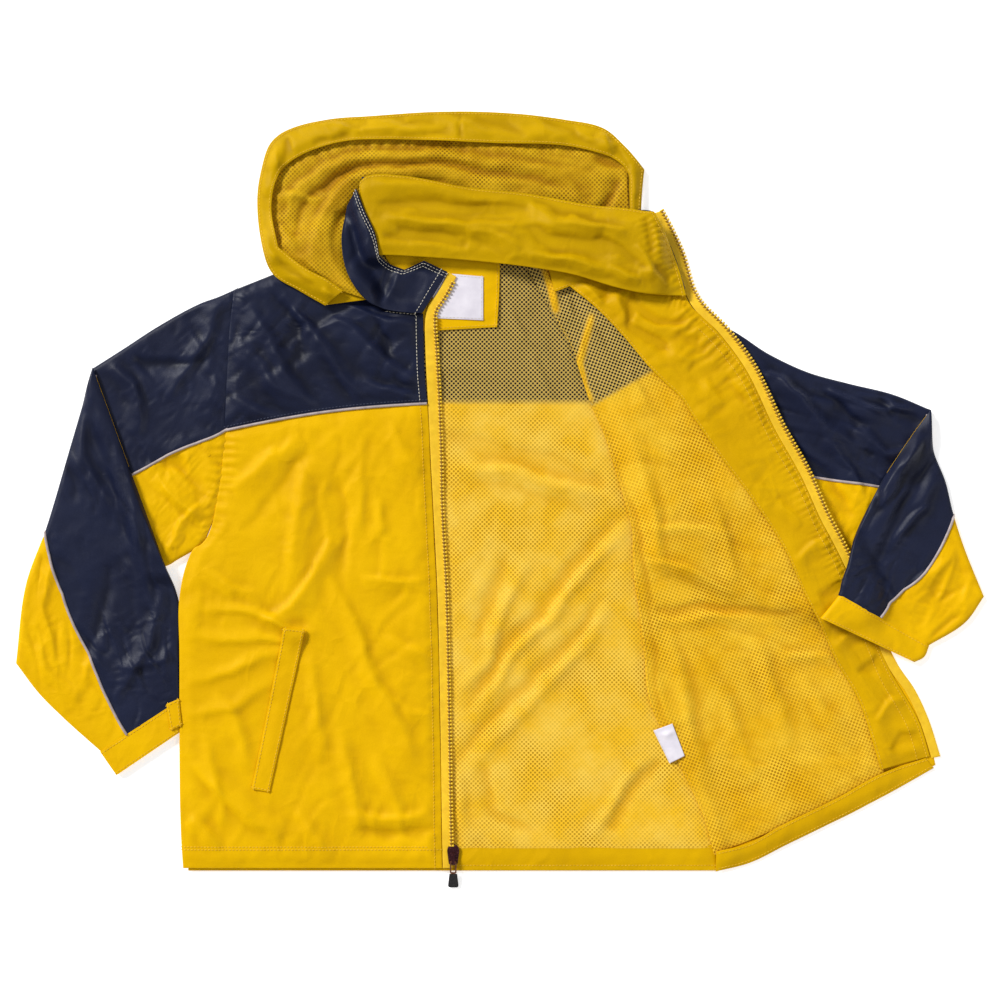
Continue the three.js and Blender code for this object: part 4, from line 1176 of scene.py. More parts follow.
@dataclass
class Workshop:
    """The table, the finishes and the trees that every sub-assembly uses."""

    table: Table = field(default_factory=Table)
    finishes: dict[str, bpy.types.Material] = field(default_factory=dict)
    trees: dict[str, NodeTree] = field(default_factory=dict)

    def finish(self, kind: Finish) -> bpy.types.Material:
        """The material of a finish, made once."""
        if kind.name not in self.finishes:
            self.finishes[kind.name] = kind.material()
        return self.finishes[kind.name]

    def tree(self, name: str, make: Callable[[], NodeTree]) -> NodeTree:
        """A tree that grows things along lines, made once."""
        if name not in self.trees:
            self.trees[name] = make()
        return self.trees[name]

    def enter(self, piece: bpy.types.Object, slot: Slot, finish: Finish | None = None,
              body: str = "coat") -> bpy.types.Object:
        """Dresses a piece and lets it ride.

        Args:
            piece: the object.
            slot: not used.
            finish: its finish, where the piece has none yet.
            body: the body that it rides on.

        Returns:
            The object.
        """
        if finish is not None:
            piece.data.materials.clear()
            piece.data.materials.append(self.finish(finish))
        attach(piece, body)
        log.info("%s: %d faces", piece.name, len(piece.data.polygons))
        return piece

    @staticmethod
    def declare(panel: Panel, rests_on: Sequence[str]) -> None:
        """Works out a panel's width, length and area from its grid, and keeps none of them.

        Args:
            panel: the cloth.
            rests_on: not used.
        """
        grid = panel.top * MM
        widths = np.linalg.norm(np.diff(grid, axis=1), axis=2).sum(axis=1)
        lengths = np.linalg.norm(np.diff(grid, axis=0), axis=2).sum(axis=0)
        first = np.cross(grid[1:, :-1] - grid[:-1, :-1], grid[:-1, 1:] - grid[:-1, :-1])
        second = np.cross(grid[1:, 1:] - grid[1:, :-1], grid[1:, 1:] - grid[:-1, 1:])
        area = 0.5 * (np.linalg.norm(first, axis=2).sum() + np.linalg.norm(second, axis=2).sum())
        width, length = float(widths.max()), float(lengths.max())
        area = float(min(max(area, LEAST_SHARE * width * length), width * length))

    def hang(self, node: str, finish: Finish, slot: Slot, outer: Array, inner: Array, closed: bool,
             grain: float, rests_on: Sequence[str], **marks: Array | None) -> Panel:
        """Makes a cloth of two grids, in place of a node.

        Args:
            node: the CAD node that it stands for.
            finish: its finish.
            slot: the record's slot.
            outer: the points of its outer face.
            inner: the points of its inner face.
            closed: whether it is a whole ring.
            grain: the turn of its weave.
            rests_on: the pieces and nodes below it.
            **marks: values for each outer point, kept on the mesh under those names.

        Returns:
            The panel.
        """
        piece = wall_mesh(node + "_cloth", outer, inner, closed, grain, **marks)
        self.table.mark(node, outer)
        panel = Panel(outer, self.enter(piece, slot, finish))
        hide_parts(node)
        self.declare(panel, rests_on)
        return panel

    def lay(self, node: str, finish: Finish, slot: Slot, rows: Sequence[Sequence[float]], *,
            on: Sequence[str] = (), step: float = 2.8, wall: float = SHELL, relief: Relief | None = None,
            sides: tuple[Side, Side, Side, Side] = (Side.FREE,) * 4, grain: float = 0.0, soften: float = 4.0,
            under: HeightOf | None = None, grow: tuple[float, float] = (0.0, 0.0),
            widen: tuple[float, float] = (0.0, 0.0), seat: Sequence[str] | None = None) -> Panel:
        """Lays a cloth on what is below it, in place of a node.

        Args:
            node: the CAD node that it stands for.
            finish: its finish.
            slot: the record's slot.
            rows: its sections.
            on: the nodes below it.
            step: the size of its mesh.
            wall: its thickness.
            relief: its creases.
            sides: how it ends at the first edge, the second, the first section and the last.
            grain: the turn of its weave.
            soften: how far steps below are softened.
            under: how dark the cloth behind a point is.
            grow: how far the first and the last section reach further out, to close a seam.
            widen: how far the first and the second edge reach further out.
            seat: the nodes that its first edge comes down to, where that is a seam.

        Returns:
            The panel.
        """
        cut = Cut(rows)
        sections = cut.sampled(step)
        for last, amount in zip((False, True), grow):
            if amount:
                push_end(sections, last, 3, amount)
        way = unit(sections[:, 2:4] - sections[:, 0:2])
        sections[:, 0:2] -= way * widen[0]
        sections[:, 2:4] += way * widen[1]
        lengths = widths_of(sections)
        fractions = spread(lengths, step)
        plan = cut.plan(sections, fractions)
        x, y = plan[..., 0], plan[..., 1]
        steps = np.linalg.norm(np.diff(plan, axis=0), axis=2)
        run = np.vstack([np.zeros((1, plan.shape[1])), np.cumsum(steps, axis=0)])
        to_sides = (fractions * lengths[:, None], (1 - fractions) * lengths[:, None], run, run[-1:] - run)
        base = self.table.level(on, soften)(x, y)
        if seat is not None:
            low = self.table.level(seat, soften)(x, y)
            base = low + (base - low) * smooth_step(to_sides[0], SEAT_REACH)
        # Painted shade in the relief's troughs, kept on the mesh for the finish to darken.
        dip = np.zeros(x.shape)
        if relief is not None:
            rise, dip = relief.laid(x, y, sides, to_sides)
            base = base + rise
        nearest = np.minimum.reduce(to_sides)
        curl = np.sqrt(1 - (1 - np.clip(nearest / EDGE_STEPS[1], 0, 1)) ** 2)
        middle = base + wall / 2
        thick = wall / 2 * np.clip(curl, THIN_EDGE, 1)
        top, bottom = np.dstack([x, y, middle + thick]), np.dstack([x, y, middle - thick])
        rests_on = [n + "_cloth" if n + "_cloth" in bpy.data.objects else n for n in on]
        dark = None if under is None else under(x, y)
        return self.hang(node, finish, slot, top, bottom, False, grain, rests_on, under=dark, dip=dip)

    def stitch(self, name: str, lines: Sequence[Array], thread: Finish = THREAD, slot: Slot = Slot.YELLOW,
               width: float = 0.7) -> bpy.types.Object:
        """Sews stitches along lines.

        Args:
            name: the piece.
            lines: points in millimetres.
            thread: the thread's finish.
            slot: the record's slot.
            width: the thread's width.

        Returns:
            The stitches.
        """
        inputs = {"Pitch": STITCH_PITCH * MM, "Length": STITCH * MM, "Width": width * MM,
                  "Thread": self.finish(thread)}
        return self.enter(grown(name, self.tree("stitches", stitch_tree), lines, inputs), slot)

    def pipe(self, node: str, line: Array, radius: float = 1.25) -> bpy.types.Object:
        """Runs a piping cord along a line, in place of its node."""
        inputs = {"Radius": radius * MM, "Cover": self.finish(CORD)}
        piece = grown(node + "_cord", self.tree("cord", cord_tree), [line], inputs)
        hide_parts(node)
        return self.enter(piece, Slot.PIPING)

    def teeth(self, name: str, line: Array, reach: float = 3.4) -> bpy.types.Object:
        """Sets zip teeth along a line."""
        inputs = {"Pitch": TOOTH_PITCH * MM, "Reach": reach * MM, "Width": TOOTH_WIDTH * MM,
                  "Plastic": self.finish(TEETH), "Cord": self.finish(EDGE_CORD_SHADE)}
        return self.enter(grown(name, self.tree("teeth", teeth_tree), [line[::-1]], inputs), Slot.TAPE)


# The sub-assemblies

ALL_FLAT = (Side.FLAT,) * 4
SEAM_DARK_Y = 88.0
DARK_LEAD = 1.5
DARK_BLUR = 3.0


def below(section: Sequence[float], near: float, far: float) -> list[list[float]]:
    """A strip below a section, between two distances."""
    x0, y0, x1, y1, *rest = section
    return [[x0, y0 - near, x1, y1 - near, *rest], [x0, y0 - far, x1, y1 - far, *rest]]


@dataclass
class Back:
    """The back of the coat: its shell, its net lining, the neck patch and the neck label."""

    yoke: tuple = (
        (-139, 222, 25, 208.5), (-180, 209, 36, 194), (-235.5, 187, 43, 183),
        (-238.5, 152.5, 58.5, 151.5), (-241.5, 121, 75, 115), (-243, 89.5, 83, 88))
    body: tuple = (
        (-243, 88.5, 83.5, 86.5), (-244.5, 62.5, 95, 61.5), (-246.5, 27.5, 106, 27.5), (-250, 5, 113, 5),
        (-259, -32, 121.5, -27.5), (-270.5, -44.5, 122, -44.5), (-277, -56, 122.5, -60),
        (-281.5, -72.5, 124, -77),
        (-284, -95, 127, -95), (-284, -135.5, 132, -135.5), (-284, -180.5, 137, -180.5),
        (-284, -230, 160, -230), (-283.5, -293, 189, -293), (-281.5, -330, 194.5, -330))
    patch: tuple = ((-104, 220, 0, 212), (-86, 188.5, -0.5, 188.5), (-81, 151, -2.5, 155.5))
    label: tuple = ((-60, 205, -15, 201), (-61, 163.5, -15, 161.5))
    lining_end: tuple = (-281, -312, 191.5, -312)
    hem_top: tuple = (-281, -312.6, 194, -312.6)
    hem_depth: float = 21.4
    lining_relief: Relief = Relief(creases=(
        (3.2, 12, 0.35, -46, 31, 18, 26, 61, 10, 110, -2),
        (-3.6, 14, 0.35, -48, 62, 2, 48, 53, 32, 99, 14),
        (-3.2, 11, 0.35, 110, -9, 51, -85, -9, -158, -34, -192),
        (2.8, 9, 0.35, 116, -25, 67, -81, 27, -126, -22, -194),
        (-2.4, 8, 0.35, 99, -85, 45, -144, -14, -204, -44, -244),
        (2.2, 8, 0.35, 104, -96, 51, -158, 5, -206, -30, -252),
        (2.6, 9, 0.35, 26, -53, 2, -101, -6, -144, -40, -172),
        (-2.2, 9, 0.35, 7, -48, -9, -85, -17, -125),
        (2.4, 10, 0.35, -38, -244, -32, -275, -24, -304),
        (-2.0, 10, 0.35, -17, -236, 0, -279, 34, -303),
        (-3.4, 10, 0.35, 142, -234, 123, -260, 104, -298),
        (2.8, 8, 0.35, 135, -230, 110, -263, 86, -303),
        (2.4, 9, 0.35, 30, 130, 40, 108, 50, 92),
        (-3.4, 8, 0.35, 34, 178, 50, 157, 62, 134),
        (2.6, 8, 0.35, 10, 176, 24, 150, 52, 132),
        (2.0, 10, 0.35, -70, 130, -30, 118, 10, 100)), wrinkle=0.42, pitch=34, puff=1.4, angle=50)

    @staticmethod
    def lining_section(section: Sequence[float]) -> list[float]:
        """A section of the lining, a little inside the shell's."""
        x0, y0, x1, y1 = section
        drop = (2 if y0 > 180 else 0, 2 if y1 > 180 else 0)
        return [x0 + 1, y0 - drop[0], x1 - 0.5, y1 - drop[1]]

    def build(self, shop: Workshop) -> None:
        """Lays the back, from the shell to the label."""
        shop.lay("back_yoke", NAVY, Slot.NAVY, self.yoke, step=7, sides=ALL_FLAT, grow=(14, 0.4),
                 widen=(0, 2))
        shop.lay("back_body", YELLOW, Slot.YELLOW, self.body, step=7, sides=ALL_FLAT, grow=(0.4, 0),
                 widen=(0, 1))
        shell = ["back_yoke", "back_body"]
        rows = [self.lining_section(s) for s in (*self.yoke, *self.body[1:-1])] + [list(self.lining_end)]
        shop.lay("back_lining", NET, Slot.MESH, rows, on=shell, wall=MESH, step=3.6,
                 relief=self.lining_relief, grow=(6, 2), widen=(0, 1),
                 sides=(Side.FLAT, Side.FREE, Side.FLAT, Side.SEAM),
                 under=lambda x, y: smooth_step(y - SEAM_DARK_Y + DARK_LEAD, DARK_BLUR))
        hem = shop.lay("back_hem", HALF_SHADED, Slot.YELLOW, below(self.hem_top, 0, self.hem_depth), on=shell,
                       step=2.5, relief=Relief(wrinkle=0.35, pitch=30, puff=0.8),
                       grow=(2.0, 0), widen=(0, 0.8))
        patch = shop.lay("neck_patch", YELLOW, Slot.YELLOW, self.patch, on=[*shell, "back_lining"], soften=3,
                         grow=(5, 0), relief=Relief(wrinkle=0.5, pitch=30, puff=0.6))
        label = shop.lay("neck_label", SATIN, Slot.LABEL, self.label, on=["back_lining", "neck_patch"],
                         wall=0.6, soften=2, relief=Relief(wrinkle=0.25, pitch=30, puff=0.5))
        shop.stitch("back_hem_stitches", [hem.across(2.5), hem.across(18.5)])
        shop.stitch("neck_patch_stitches", [patch.along(2.2, True), patch.across(2.2, True)])
        sewn = [label.across(1.5), label.across(1.5, True), label.along(1.5, True)]
        shop.stitch("neck_label_stitches", sewn, CREAM, Slot.LABEL, 0.4)


@dataclass
class RightFront:
    """The wearer's right front, closed over the back, with its zip tape and its pocket."""

    yoke: tuple = (
        (-237.5, 189.5, -144, 226.5), (-238.5, 179.5, -135, 202), (-240, 166, -117.5, 178.5),
        (-241.5, 152.5, -100.5, 171.5), (-242, 142.5, -69, 167.5), (-243, 125.5, -68.5, 139),
        (-244.5, 94, -67.5, 112), (-245.5, 64.5, -65.5, 88.5, 4.5))
    body: tuple = (
        (-245.5, 61.2, -65.2, 85.2, 4.5), (-247.5, 44.5, -63.7, 60.8, 2), (-249, 27.5, -62.8, 35.5),
        (-252.5, 5, -61.4, 8.5), (-261.5, -32, -59.6, -29), (-268, -40, -59.2, -40),
        (-274, -43.5, -58.5, -51),
        (-279.5, -54.5, -57.8, -63.5), (-284, -69.5, -57, -81.5), (-287.5, -93, -56.3, -104),
        (-287, -135.5, -55.1, -140), (-287, -180.5, -54.5, -180.5), (-287, -230, -53.5, -231.5),
        (-286, -293, -52.7, -294.5), (-284, -331.5, -52, -331.5))
    tape: tuple = (
        (-46.3, 205, -39, 200.5), (-56.3, 186, -49, 181.5), (-64.4, 174.4, -57, 169),
        (-67, 163.5, -57.8, 160),
        (-67.2, 139, -56.5, 139), (-64.8, 88.5, -53.8, 88.5), (-62.3, 35.5, -52, 35.5),
        (-60.4, -0.5, -51.5, -0.5),
        (-56.4, -81.5, -47.5, -81.5), (-54, -180.5, -45.2, -180.5), (-52, -311, -43, -311),
        (-51.5, -331.5, -42.5, -331.5))
    welt: tuple = ((-194, -114.5, -175, -116.5), (-207.5, -183, -189.5, -183), (-223, -259.5, -207, -262.5))
    relief: Relief = Relief(creases=(
        (3.6, 15, 0.35, -240, 8, -212, 36, -180, 58),
        (-1.6, 12, 0.35, -232, -30, -205, 4, -182, 36, -160, 62),
        (3.6, 15, -0.3, -172, 40, -177, 20, -183, -22, -190, -58, -196, -84),
        (4.2, 13, -0.5, -152, -36, -166, -62, -188, -92, -210, -112),
        (3.8, 14, 0.5, -151, -72, -140, -92, -124, -124, -96, -190, -70, -241),
        (2.8, 9, 0.5, -122, -72, -98, -71, -70, -70),
        (2.4, 10, 0.35, -106, 4, -103, -22, -113, -36),
        (-2.2, 12, 0.35, -145, 30, -142, -10, -138, -58, -139, -84),
        (2.2, 11, 0.35, -128, 50, -126, 10, -128, -30),
        (2.2, 10, 0.35, -100, 66, -90, 40, -72, 26),
        (3.0, 8, 0.35, -211, -102, -190, -112, -168, -115),
        (4.0, 13, -0.4, -277, -236, -250, -262, -224, -286, -196, -306),
        (3.6, 11, 0.35, -284, -282, -268, -296, -252, -314),
        (-2.8, 11, 0.35, -132, -294, -96, -300, -56, -290),
        (2.4, 10, 0.35, -136, -280, -100, -284, -62, -276),
        (2.8, 8, 0.5, -178, -116, -222, -104, -272, -98),
        (2.6, 9, 0.5, -182, -124, -230, -128, -282, -124),
        (2.4, 9, 0.35, -188, -136, -236, -152, -284, -158),
        (2.0, 10, 0.35, -196, -160, -240, -186, -282, -196),
        (2.4, 10, 0.35, -264, -60, -240, -78, -214, -84),
        (2.6, 12, 0.35, -250, -170, -236, -205, -222, -246),
        (2.2, 10, 0.35, -262, -210, -254, -250, -250, -290),
        (3.0, 13, 0.35, -146, -206, -132, -250, -124, -300),
        (2.6, 12, 0.35, -174, -140, -164, -190, -162, -240),
        (2.4, 11, 0.35, -110, -226, -96, -262, -86, -312),
        (2.4, 10, 0.35, -186, -276, -168, -292, -150, -318),
        (2.2, 8, 0.35, -100, -120, -84, -134, -62, -140),
        (1.8, 8, 0.35, -96, -176, -80, -190, -60, -196)),
        puckers=(Pucker(((-246, 60), (-249, 27), (-253, 4), (-262, -32)), 1.1, 8, 18),
                 Pucker(((-64, 80), (-60, -20), (-56, -120), (-54, -220), (-53, -330)), 0.5, 13, 16)),
        wrinkle=0.7, pitch=28, puff=2.6, angle=68)
    yoke_relief: Relief = Relief(creases=(
        (6.0, 17, 0.4, -226, 174, -204, 140, -190, 112, -166, 80),
        (5.6, 14, 0.5, -152, 166, -124, 142, -96, 122, -74, 110),
        (4.8, 13, 0.4, -170, 152, -146, 124, -120, 94),
        (4.0, 12, 0.4, -238, 144, -206, 112, -178, 88),
        (4.4, 9, 0.5, -142, 178, -112, 160, -76, 158),
        (-4.0, 12, 0.35, -206, 186, -184, 156, -176, 122),
        (3.6, 10, 0.4, -128, 112, -104, 100, -74, 94),
        (3.6, 10, 0.35, -242, 92, -216, 84, -194, 74),
        (-3.6, 9, 0.35, -122, 170, -104, 146, -100, 126),
        (-3.4, 9, 0.35, -160, 132, -140, 108, -130, 88),
        (-3.6, 10, 0.35, -96, 112, -84, 104, -70, 100),
        (3.4, 9, 0.4, -190, 170, -172, 158, -160, 140)),
        wrinkle=1.6, pitch=25, puff=3.4, angle=48)

    def build(self, shop: Workshop) -> None:
        """Lays the yoke, the body, the tape and the pocket, and sews them."""
        inside = ["back_yoke", "back_body", "back_lining", "back_hem", "neck_patch", "neck_label"]
        yoke = shop.lay("right_front_yoke", NAVY, Slot.NAVY, self.yoke, on=inside, relief=self.yoke_relief,
                        sides=(Side.SEAM, Side.FREE, Side.SEAM, Side.SEAM), grow=(0, 1.6), widen=(2.2, 0))
        body = shop.lay("right_front_body", YELLOW, Slot.YELLOW, self.body, on=inside, relief=self.relief,
                        sides=(Side.SEAM, Side.FREE, Side.SEAM, Side.FREE), grow=(1.6, 0), widen=(1.4, 0))
        upper = yoke.across(0.4, True)
        seam = 0.5 * (upper + resampled(body.across(0.4), len(upper)))
        shop.pipe("right_front_piping", resampled(seam, 90) + (0, 0, 0.5))
        waves = Pucker(((-46, 204), (-66, 160), (-54, -180)), 0.35, 14, 20)
        tape = shop.lay("right_zip_tape", TAPE, Slot.TAPE, self.tape, on=inside, wall=MESH, step=2, soften=3,
                        relief=Relief(wrinkle=0.2, pitch=26, puff=0.5, puckers=(waves,)))
        shop.teeth("right_zip_teeth", tape.along(0.9, True, 0.02, 0.955, 0.2))
        welt = shop.lay("pocket_welt", YELLOW, Slot.YELLOW, self.welt, on=["right_front_body"], soften=2,
                        step=2, relief=Relief(wrinkle=0.3, pitch=24, puff=0.6))
        sewn = [body.along(6.5, True), body.across(17, True), body.across(19.5, True, 0.0, 0.93)]
        shop.stitch("right_front_edge_stitches", sewn)
        shop.stitch("right_yoke_edge_stitches", [yoke.along(6.5, True, 0.42)], CREAM, Slot.NAVY)
        shop.stitch("right_yoke_seam_stitches", [yoke.across(3.2, True)], NAVY_THREAD, Slot.NAVY)
        shop.stitch("pocket_stitches", welt.round_it(1.8))


TAPER = 9.0
CURL_REACH = 5.0
CALM_REACH = 12.0
SLEEVE_STEP = 2.6
CLOSE_STEPS = (0.25, 0.7, 1.4, 2.4, 3.8)
UNDER_COUNT = 12


def close_turns(width: Array) -> Array:
    """Turns close beside a sleeve's edge, one row a section."""
    return np.array(CLOSE_STEPS) / (2 * width[:, None])


@dataclass
class Sleeve:
    """A sleeve laid flat: an upper stretch to the elbow fold and a lower one that is folded over it."""

    name: str
    upper: tuple
    lower: tuple
    cuff: tuple
    upper_relief: Relief
    lower_relief: Relief
    loft: float = 6.5
    fold: float = 3.0
    under_seam: float = 0.25
    tuck: float = 2.2
    start: float = 2.6
    past_fold: float = 1.0
    taper: float = TAPER
    lower_end: float = 6.0
    cuff_loft: float = 6.4
    grain: tuple[float, float] = (0.0, 0.0)

    def band(self, shop: Workshop, node: str, finish: Finish, slot: Slot, cut: Cut, turns: Array,
             sections: Array, shape: Callable[[Array, Array, float], Array], relief: Relief, grain: float,
             rests_on: Sequence[str], closed: bool = False) -> Panel:
        """One cloth of a sleeve, as a wall that follows the turns.

        Args:
            shop: the workshop.
            node: the node that it stands for.
            finish: its finish.
            slot: the record's slot.
            cut: the stretch's cut.
            turns: one row of turns for each section; 0 is the outer edge, 0.5 the inner one, over the top.
            sections: the stretch's sections.
            shape: the points for sections, turns and an inset.
            relief: its creases.
            grain: the turn of its weave.
            rests_on: the pieces below it.
            closed: whether the band is a whole ring.

        Returns:
            The panel.
        """
        outer, inner = shape(sections, turns, 0.0), shape(sections, turns, SHELL)
        t = turns % 1.0
        plan = cut.plan(sections, np.where(t <= 0.5, 2 * t, 2 - 2 * t))
        # Painted shade in the relief's troughs, on the upper face only.
        dip = dips(relief.at(plan[..., 0], plan[..., 1])) * (t <= 0.5)
        return shop.hang(node, finish, slot, outer, inner, closed, grain, rests_on, dip=dip)

    def shaper(self, shop: Workshop, cut: Cut, on: Sequence[str], relief: Relief, ends: tuple[float, float],
               run: Array) -> Callable[[Array, Array, float], Array]:
        """The shape of a stretch.

        Args:
            shop: the workshop.
            cut: its cut.
            on: the nodes below it.
            relief: its creases.
            ends: the height that the loft has at the first and the last section.
            run: the distance of each section from the first.

        Returns:
            A function of sections, turns and inset that gives points.
        """
        level = shop.table.level(on)
        start = np.maximum(0, 1 - run / (TAPER if on else self.taper)) ** 2
        end = np.maximum(0, 1 - (run[-1] - run) / TAPER) ** 2
        loft = self.loft * (1 - start - end) + ends[0] * start + ends[1] * end

        def shape(sections: Array, turns: Array, inset: float) -> Array:
            """The points at those turns, so far inside the outer face."""
            t = turns % 1.0
            over = t <= 0.5
            fraction = np.where(over, 2 * t, 2 - 2 * t)
            width = widths_of(sections)[:, None]
            pulled = inset / width + (1 - 2 * inset / width) * fraction
            plan = cut.plan(sections, pulled)
            edge = cut.plan(sections, fraction)
            x, y = edge[..., 0], edge[..., 1]
            near = np.minimum(fraction, 1 - fraction) * width
            curl = np.sqrt(1 - (1 - np.clip(near / CURL_REACH, 0, 1)) ** 2.2)
            rise = np.maximum(-0.45 * loft[:, None], relief.at(x, y)) * smooth_step(near, CALM_REACH)
            rise = rise * (1 - 0.8 * (start + end))[:, None]
            half = loft[:, None] / 2
            base = level(x, y)
            top = base + half + (half - inset) * curl + rise
            bottom = base + half - (half - inset) * curl
            return np.dstack([plan[..., 0], plan[..., 1], np.where(over, top, bottom)])

        return shape

    def stretch(self, shop: Workshop, name: str, rows: tuple, outer: tuple, inner: tuple, on: Sequence[str],
                relief: Relief, ends: tuple[float, float], grain: float) -> list[str]:
        """One stretch of the sleeve: its two cloths and the piping between them.

        Args:
            shop: the workshop.
            name: the stretch.
            rows: its sections.
            outer: name, finish and slot of the cloth at the outer edge.
            inner: the same for the inner edge.
            on: the nodes below it.
            relief: its creases.
            ends: the loft at its two ends.
            grain: the turn of its weave.

        Returns:
            The names of its nodes.
        """
        cut = Cut(rows, sleeve=True)
        sections = cut.sampled(SLEEVE_STEP)
        if not on:
            push_end(sections, False, 5, self.tuck)
            push_end(sections, True, 5, self.past_fold)
        shape = self.shaper(shop, cut, on, relief, ends, run_along(middles_of(sections)))
        width = widths_of(sections)
        seam = sections[:, 6] / 2
        count = max(8, math.ceil(width.max() * 0.6 / SLEEVE_STEP))
        close = close_turns(width)

        def run_over(low: Array, high: Array, n: int) -> Array:
            """Even turns between two limits, one row a section."""
            return low[:, None] + (high - low)[:, None] * np.linspace(0, 1, n + 1)[None, :]

        zero, half = np.zeros(len(width)), np.full(len(width), 0.5)
        edge = close[:, -1] + 0.004
        inner_turns = np.hstack([
            -close[:, ::-1], zero[:, None], close,
            run_over(np.maximum(edge, seam + 0.006), half - edge, count),
            0.5 - close[:, ::-1], half[:, None], 0.5 + close,
            run_over(half + edge, half + self.under_seam, UNDER_COUNT)])
        inner_turns = np.maximum(inner_turns, seam[:, None] + SLIVER * np.arange(inner_turns.shape[1]))
        outer_turns = np.hstack([
            run_over(half + self.under_seam, 1 - edge, UNDER_COUNT), 1 - close[:, ::-1], 1 + zero[:, None],
            1 + close, run_over(1 + edge, 1 + np.maximum(seam, edge + 0.01), count)])
        outer_turns = np.minimum(
            outer_turns, 1 + seam[:, None] - SLIVER * np.arange(outer_turns.shape[1])[::-1])
        names = [f"{name}_{outer[0]}", f"{name}_{inner[0]}", f"{name}_piping"]
        rests = [n + "_cloth" for n in on if n + "_cloth" in bpy.data.objects]
        self.band(shop, names[0], *outer[1:], cut, outer_turns, sections, shape, relief, grain, rests)
        tucked = sections.copy()
        if on:
            tucked[0, 0:4] = (sections[0, 0:4] + sections[1, 0:4]) / 2
        self.band(shop, names[1], *inner[1:], cut, inner_turns, tucked, shape, relief, grain, rests)
        line = shape(sections, seam[:, None], 0.0)[:, 0]
        shop.pipe(names[2], thinned(line, 2.0) + (0, 0, 0.4))
        shop.table.mark(names[2], np.stack([line - (1, 0, 0), line + (1, 0, 0.8)], axis=1))
        return names

    def build_upper(self, shop: Workshop) -> list[str]:
        """Lays the stretch from the armhole to the elbow."""
        return self.stretch(shop, f"{self.name}_sleeve_upper", self.upper, ("navy", NAVY, Slot.NAVY),
                            ("yellow", YELLOW, Slot.YELLOW), [], self.upper_relief, (self.start, self.loft),
                            self.grain[0])

    def build_lower(self, shop: Workshop, on: Sequence[str], cuff_on: Sequence[str]) -> list[str]:
        """Lays the stretch from the elbow to the cuff, and the cuff."""
        names = self.stretch(shop, f"{self.name}_sleeve_lower", self.lower, ("yellow", YELLOW, Slot.YELLOW),
                             ("navy", NAVY, Slot.NAVY), on, self.lower_relief, (self.fold, self.lower_end),
                             self.grain[1])
        cut = Cut(self.cuff)
        sections = cut.sampled(2.0)
        relief = Relief(wrinkle=0.5, pitch=22)
        lofts = (self.cuff_loft, self.cuff_loft)
        shape = self.shaper(shop, cut, cuff_on, relief, lofts, run_along(middles_of(sections)))
        close = close_turns(widths_of(sections))
        edge = close[:, -1:] + 0.004
        core = np.linspace(0, 1, 34)[None, :] * (0.5 - 2 * edge) + edge
        half = np.hstack([np.zeros((len(sections), 1)), close, core, 0.5 - close[:, ::-1]])
        turns = np.hstack([half, half + 0.5])
        node = f"{self.name}_cuff"
        panel = self.band(shop, node, YELLOW, Slot.YELLOW, cut, turns, sections, shape, relief, self.grain[1],
                          [], True)
        columns = half.shape[1]
        face = Panel(panel.top[:, 3:columns - 3], panel.piece)
        shop.stitch(f"{node}_stitches", [face.across(2.0), face.across(2.0, True)])
        return [*names, node]


CUFF_TAB = ((-300, -183.5, -288.5, -178.5), (-296, -207, -286, -202.5))


def sleeve_right() -> Sleeve:
    """The wearer's right sleeve."""
    return Sleeve(
        "right",
        upper=((-238.8, 189.5, -269.5, -40, 0.55, 10, 0.72), (-253.5, 183, -274.5, -44.5, 0.555, 6, 0.6),
               (-270, 177, -281, -48.5, 0.56, 2), (-308.5, 156, -291.5, -54.5, 0.55),
               (-337, 137.5, -297, -58, 0.545),
               (-366, 119, -304.5, -61, 0.54)),
        lower=((-366, 119.5, -300.5, -60, -0.04), (-387, 48, -295, -72.5, -0.04),
               (-408.5, -24.5, -288.5, -95, -0.02),
               (-427, -76, -288, -111, 0.24), (-436, -147, -288.5, -128, 0.45),
               (-415.5, -174, -288.3, -144.5, 0.43),
               (-392, -197.5, -288, -166, 0.4), (-359, -227, -287.8, -180, 0.33)),
        cuff=((-360.3, -226.7, -287.8, -179.4), (-352.5, -238, -288, -196), (-345.5, -248, -288, -209)),
        upper_relief=Relief(creases=(
            (4.4, 12, 0.35, -265, -20, -290, 0, -310, 20),
            (-3.8, 10, 0.35, -262, 5, -292, 30, -318, 34),
            (2.6, 9, 0.35, -300, -52, -285, -20, -262, 0),
            (4.4, 12, 0.35, -354, 122, -330, 100, -322, 60),
            (4.4, 13, 0.35, -250, 180, -275, 130, -300, 90),
            (-3.8, 10, 0.35, -330, 128, -300, 120, -262, 128),
            (1.6, 8, 0.35, -262, 60, -292, 42, -318, 24)),
            puckers=(Pucker(((-247, 52), (-249, 27), (-260, -32)), 1.0, 8, 16),),
            wrinkle=1.4, pitch=24, angle=125),
        lower_relief=Relief(creases=(
            (4.2, 13, 0.35, -376, 90, -372, 40, -350, -10),
            (4.4, 13, 0.35, -330, 20, -326, -40, -318, -100),
            (4.0, 12, 0.35, -300, -80, -318, -130, -350, -180),
            (2.2, 11, 0.35, -404, -60, -410, -100, -400, -150),
            (-4.0, 12, 0.35, -350, -60, -360, -110, -372, -150),
            (2.4, 8, 0.35, -292, -140, -316, -144, -345, -150),
            (1.8, 9, 0.35, -420, -130, -400, -160, -375, -178)), wrinkle=1.4, pitch=24, angle=105),
        start=5.4, tuck=3.4)


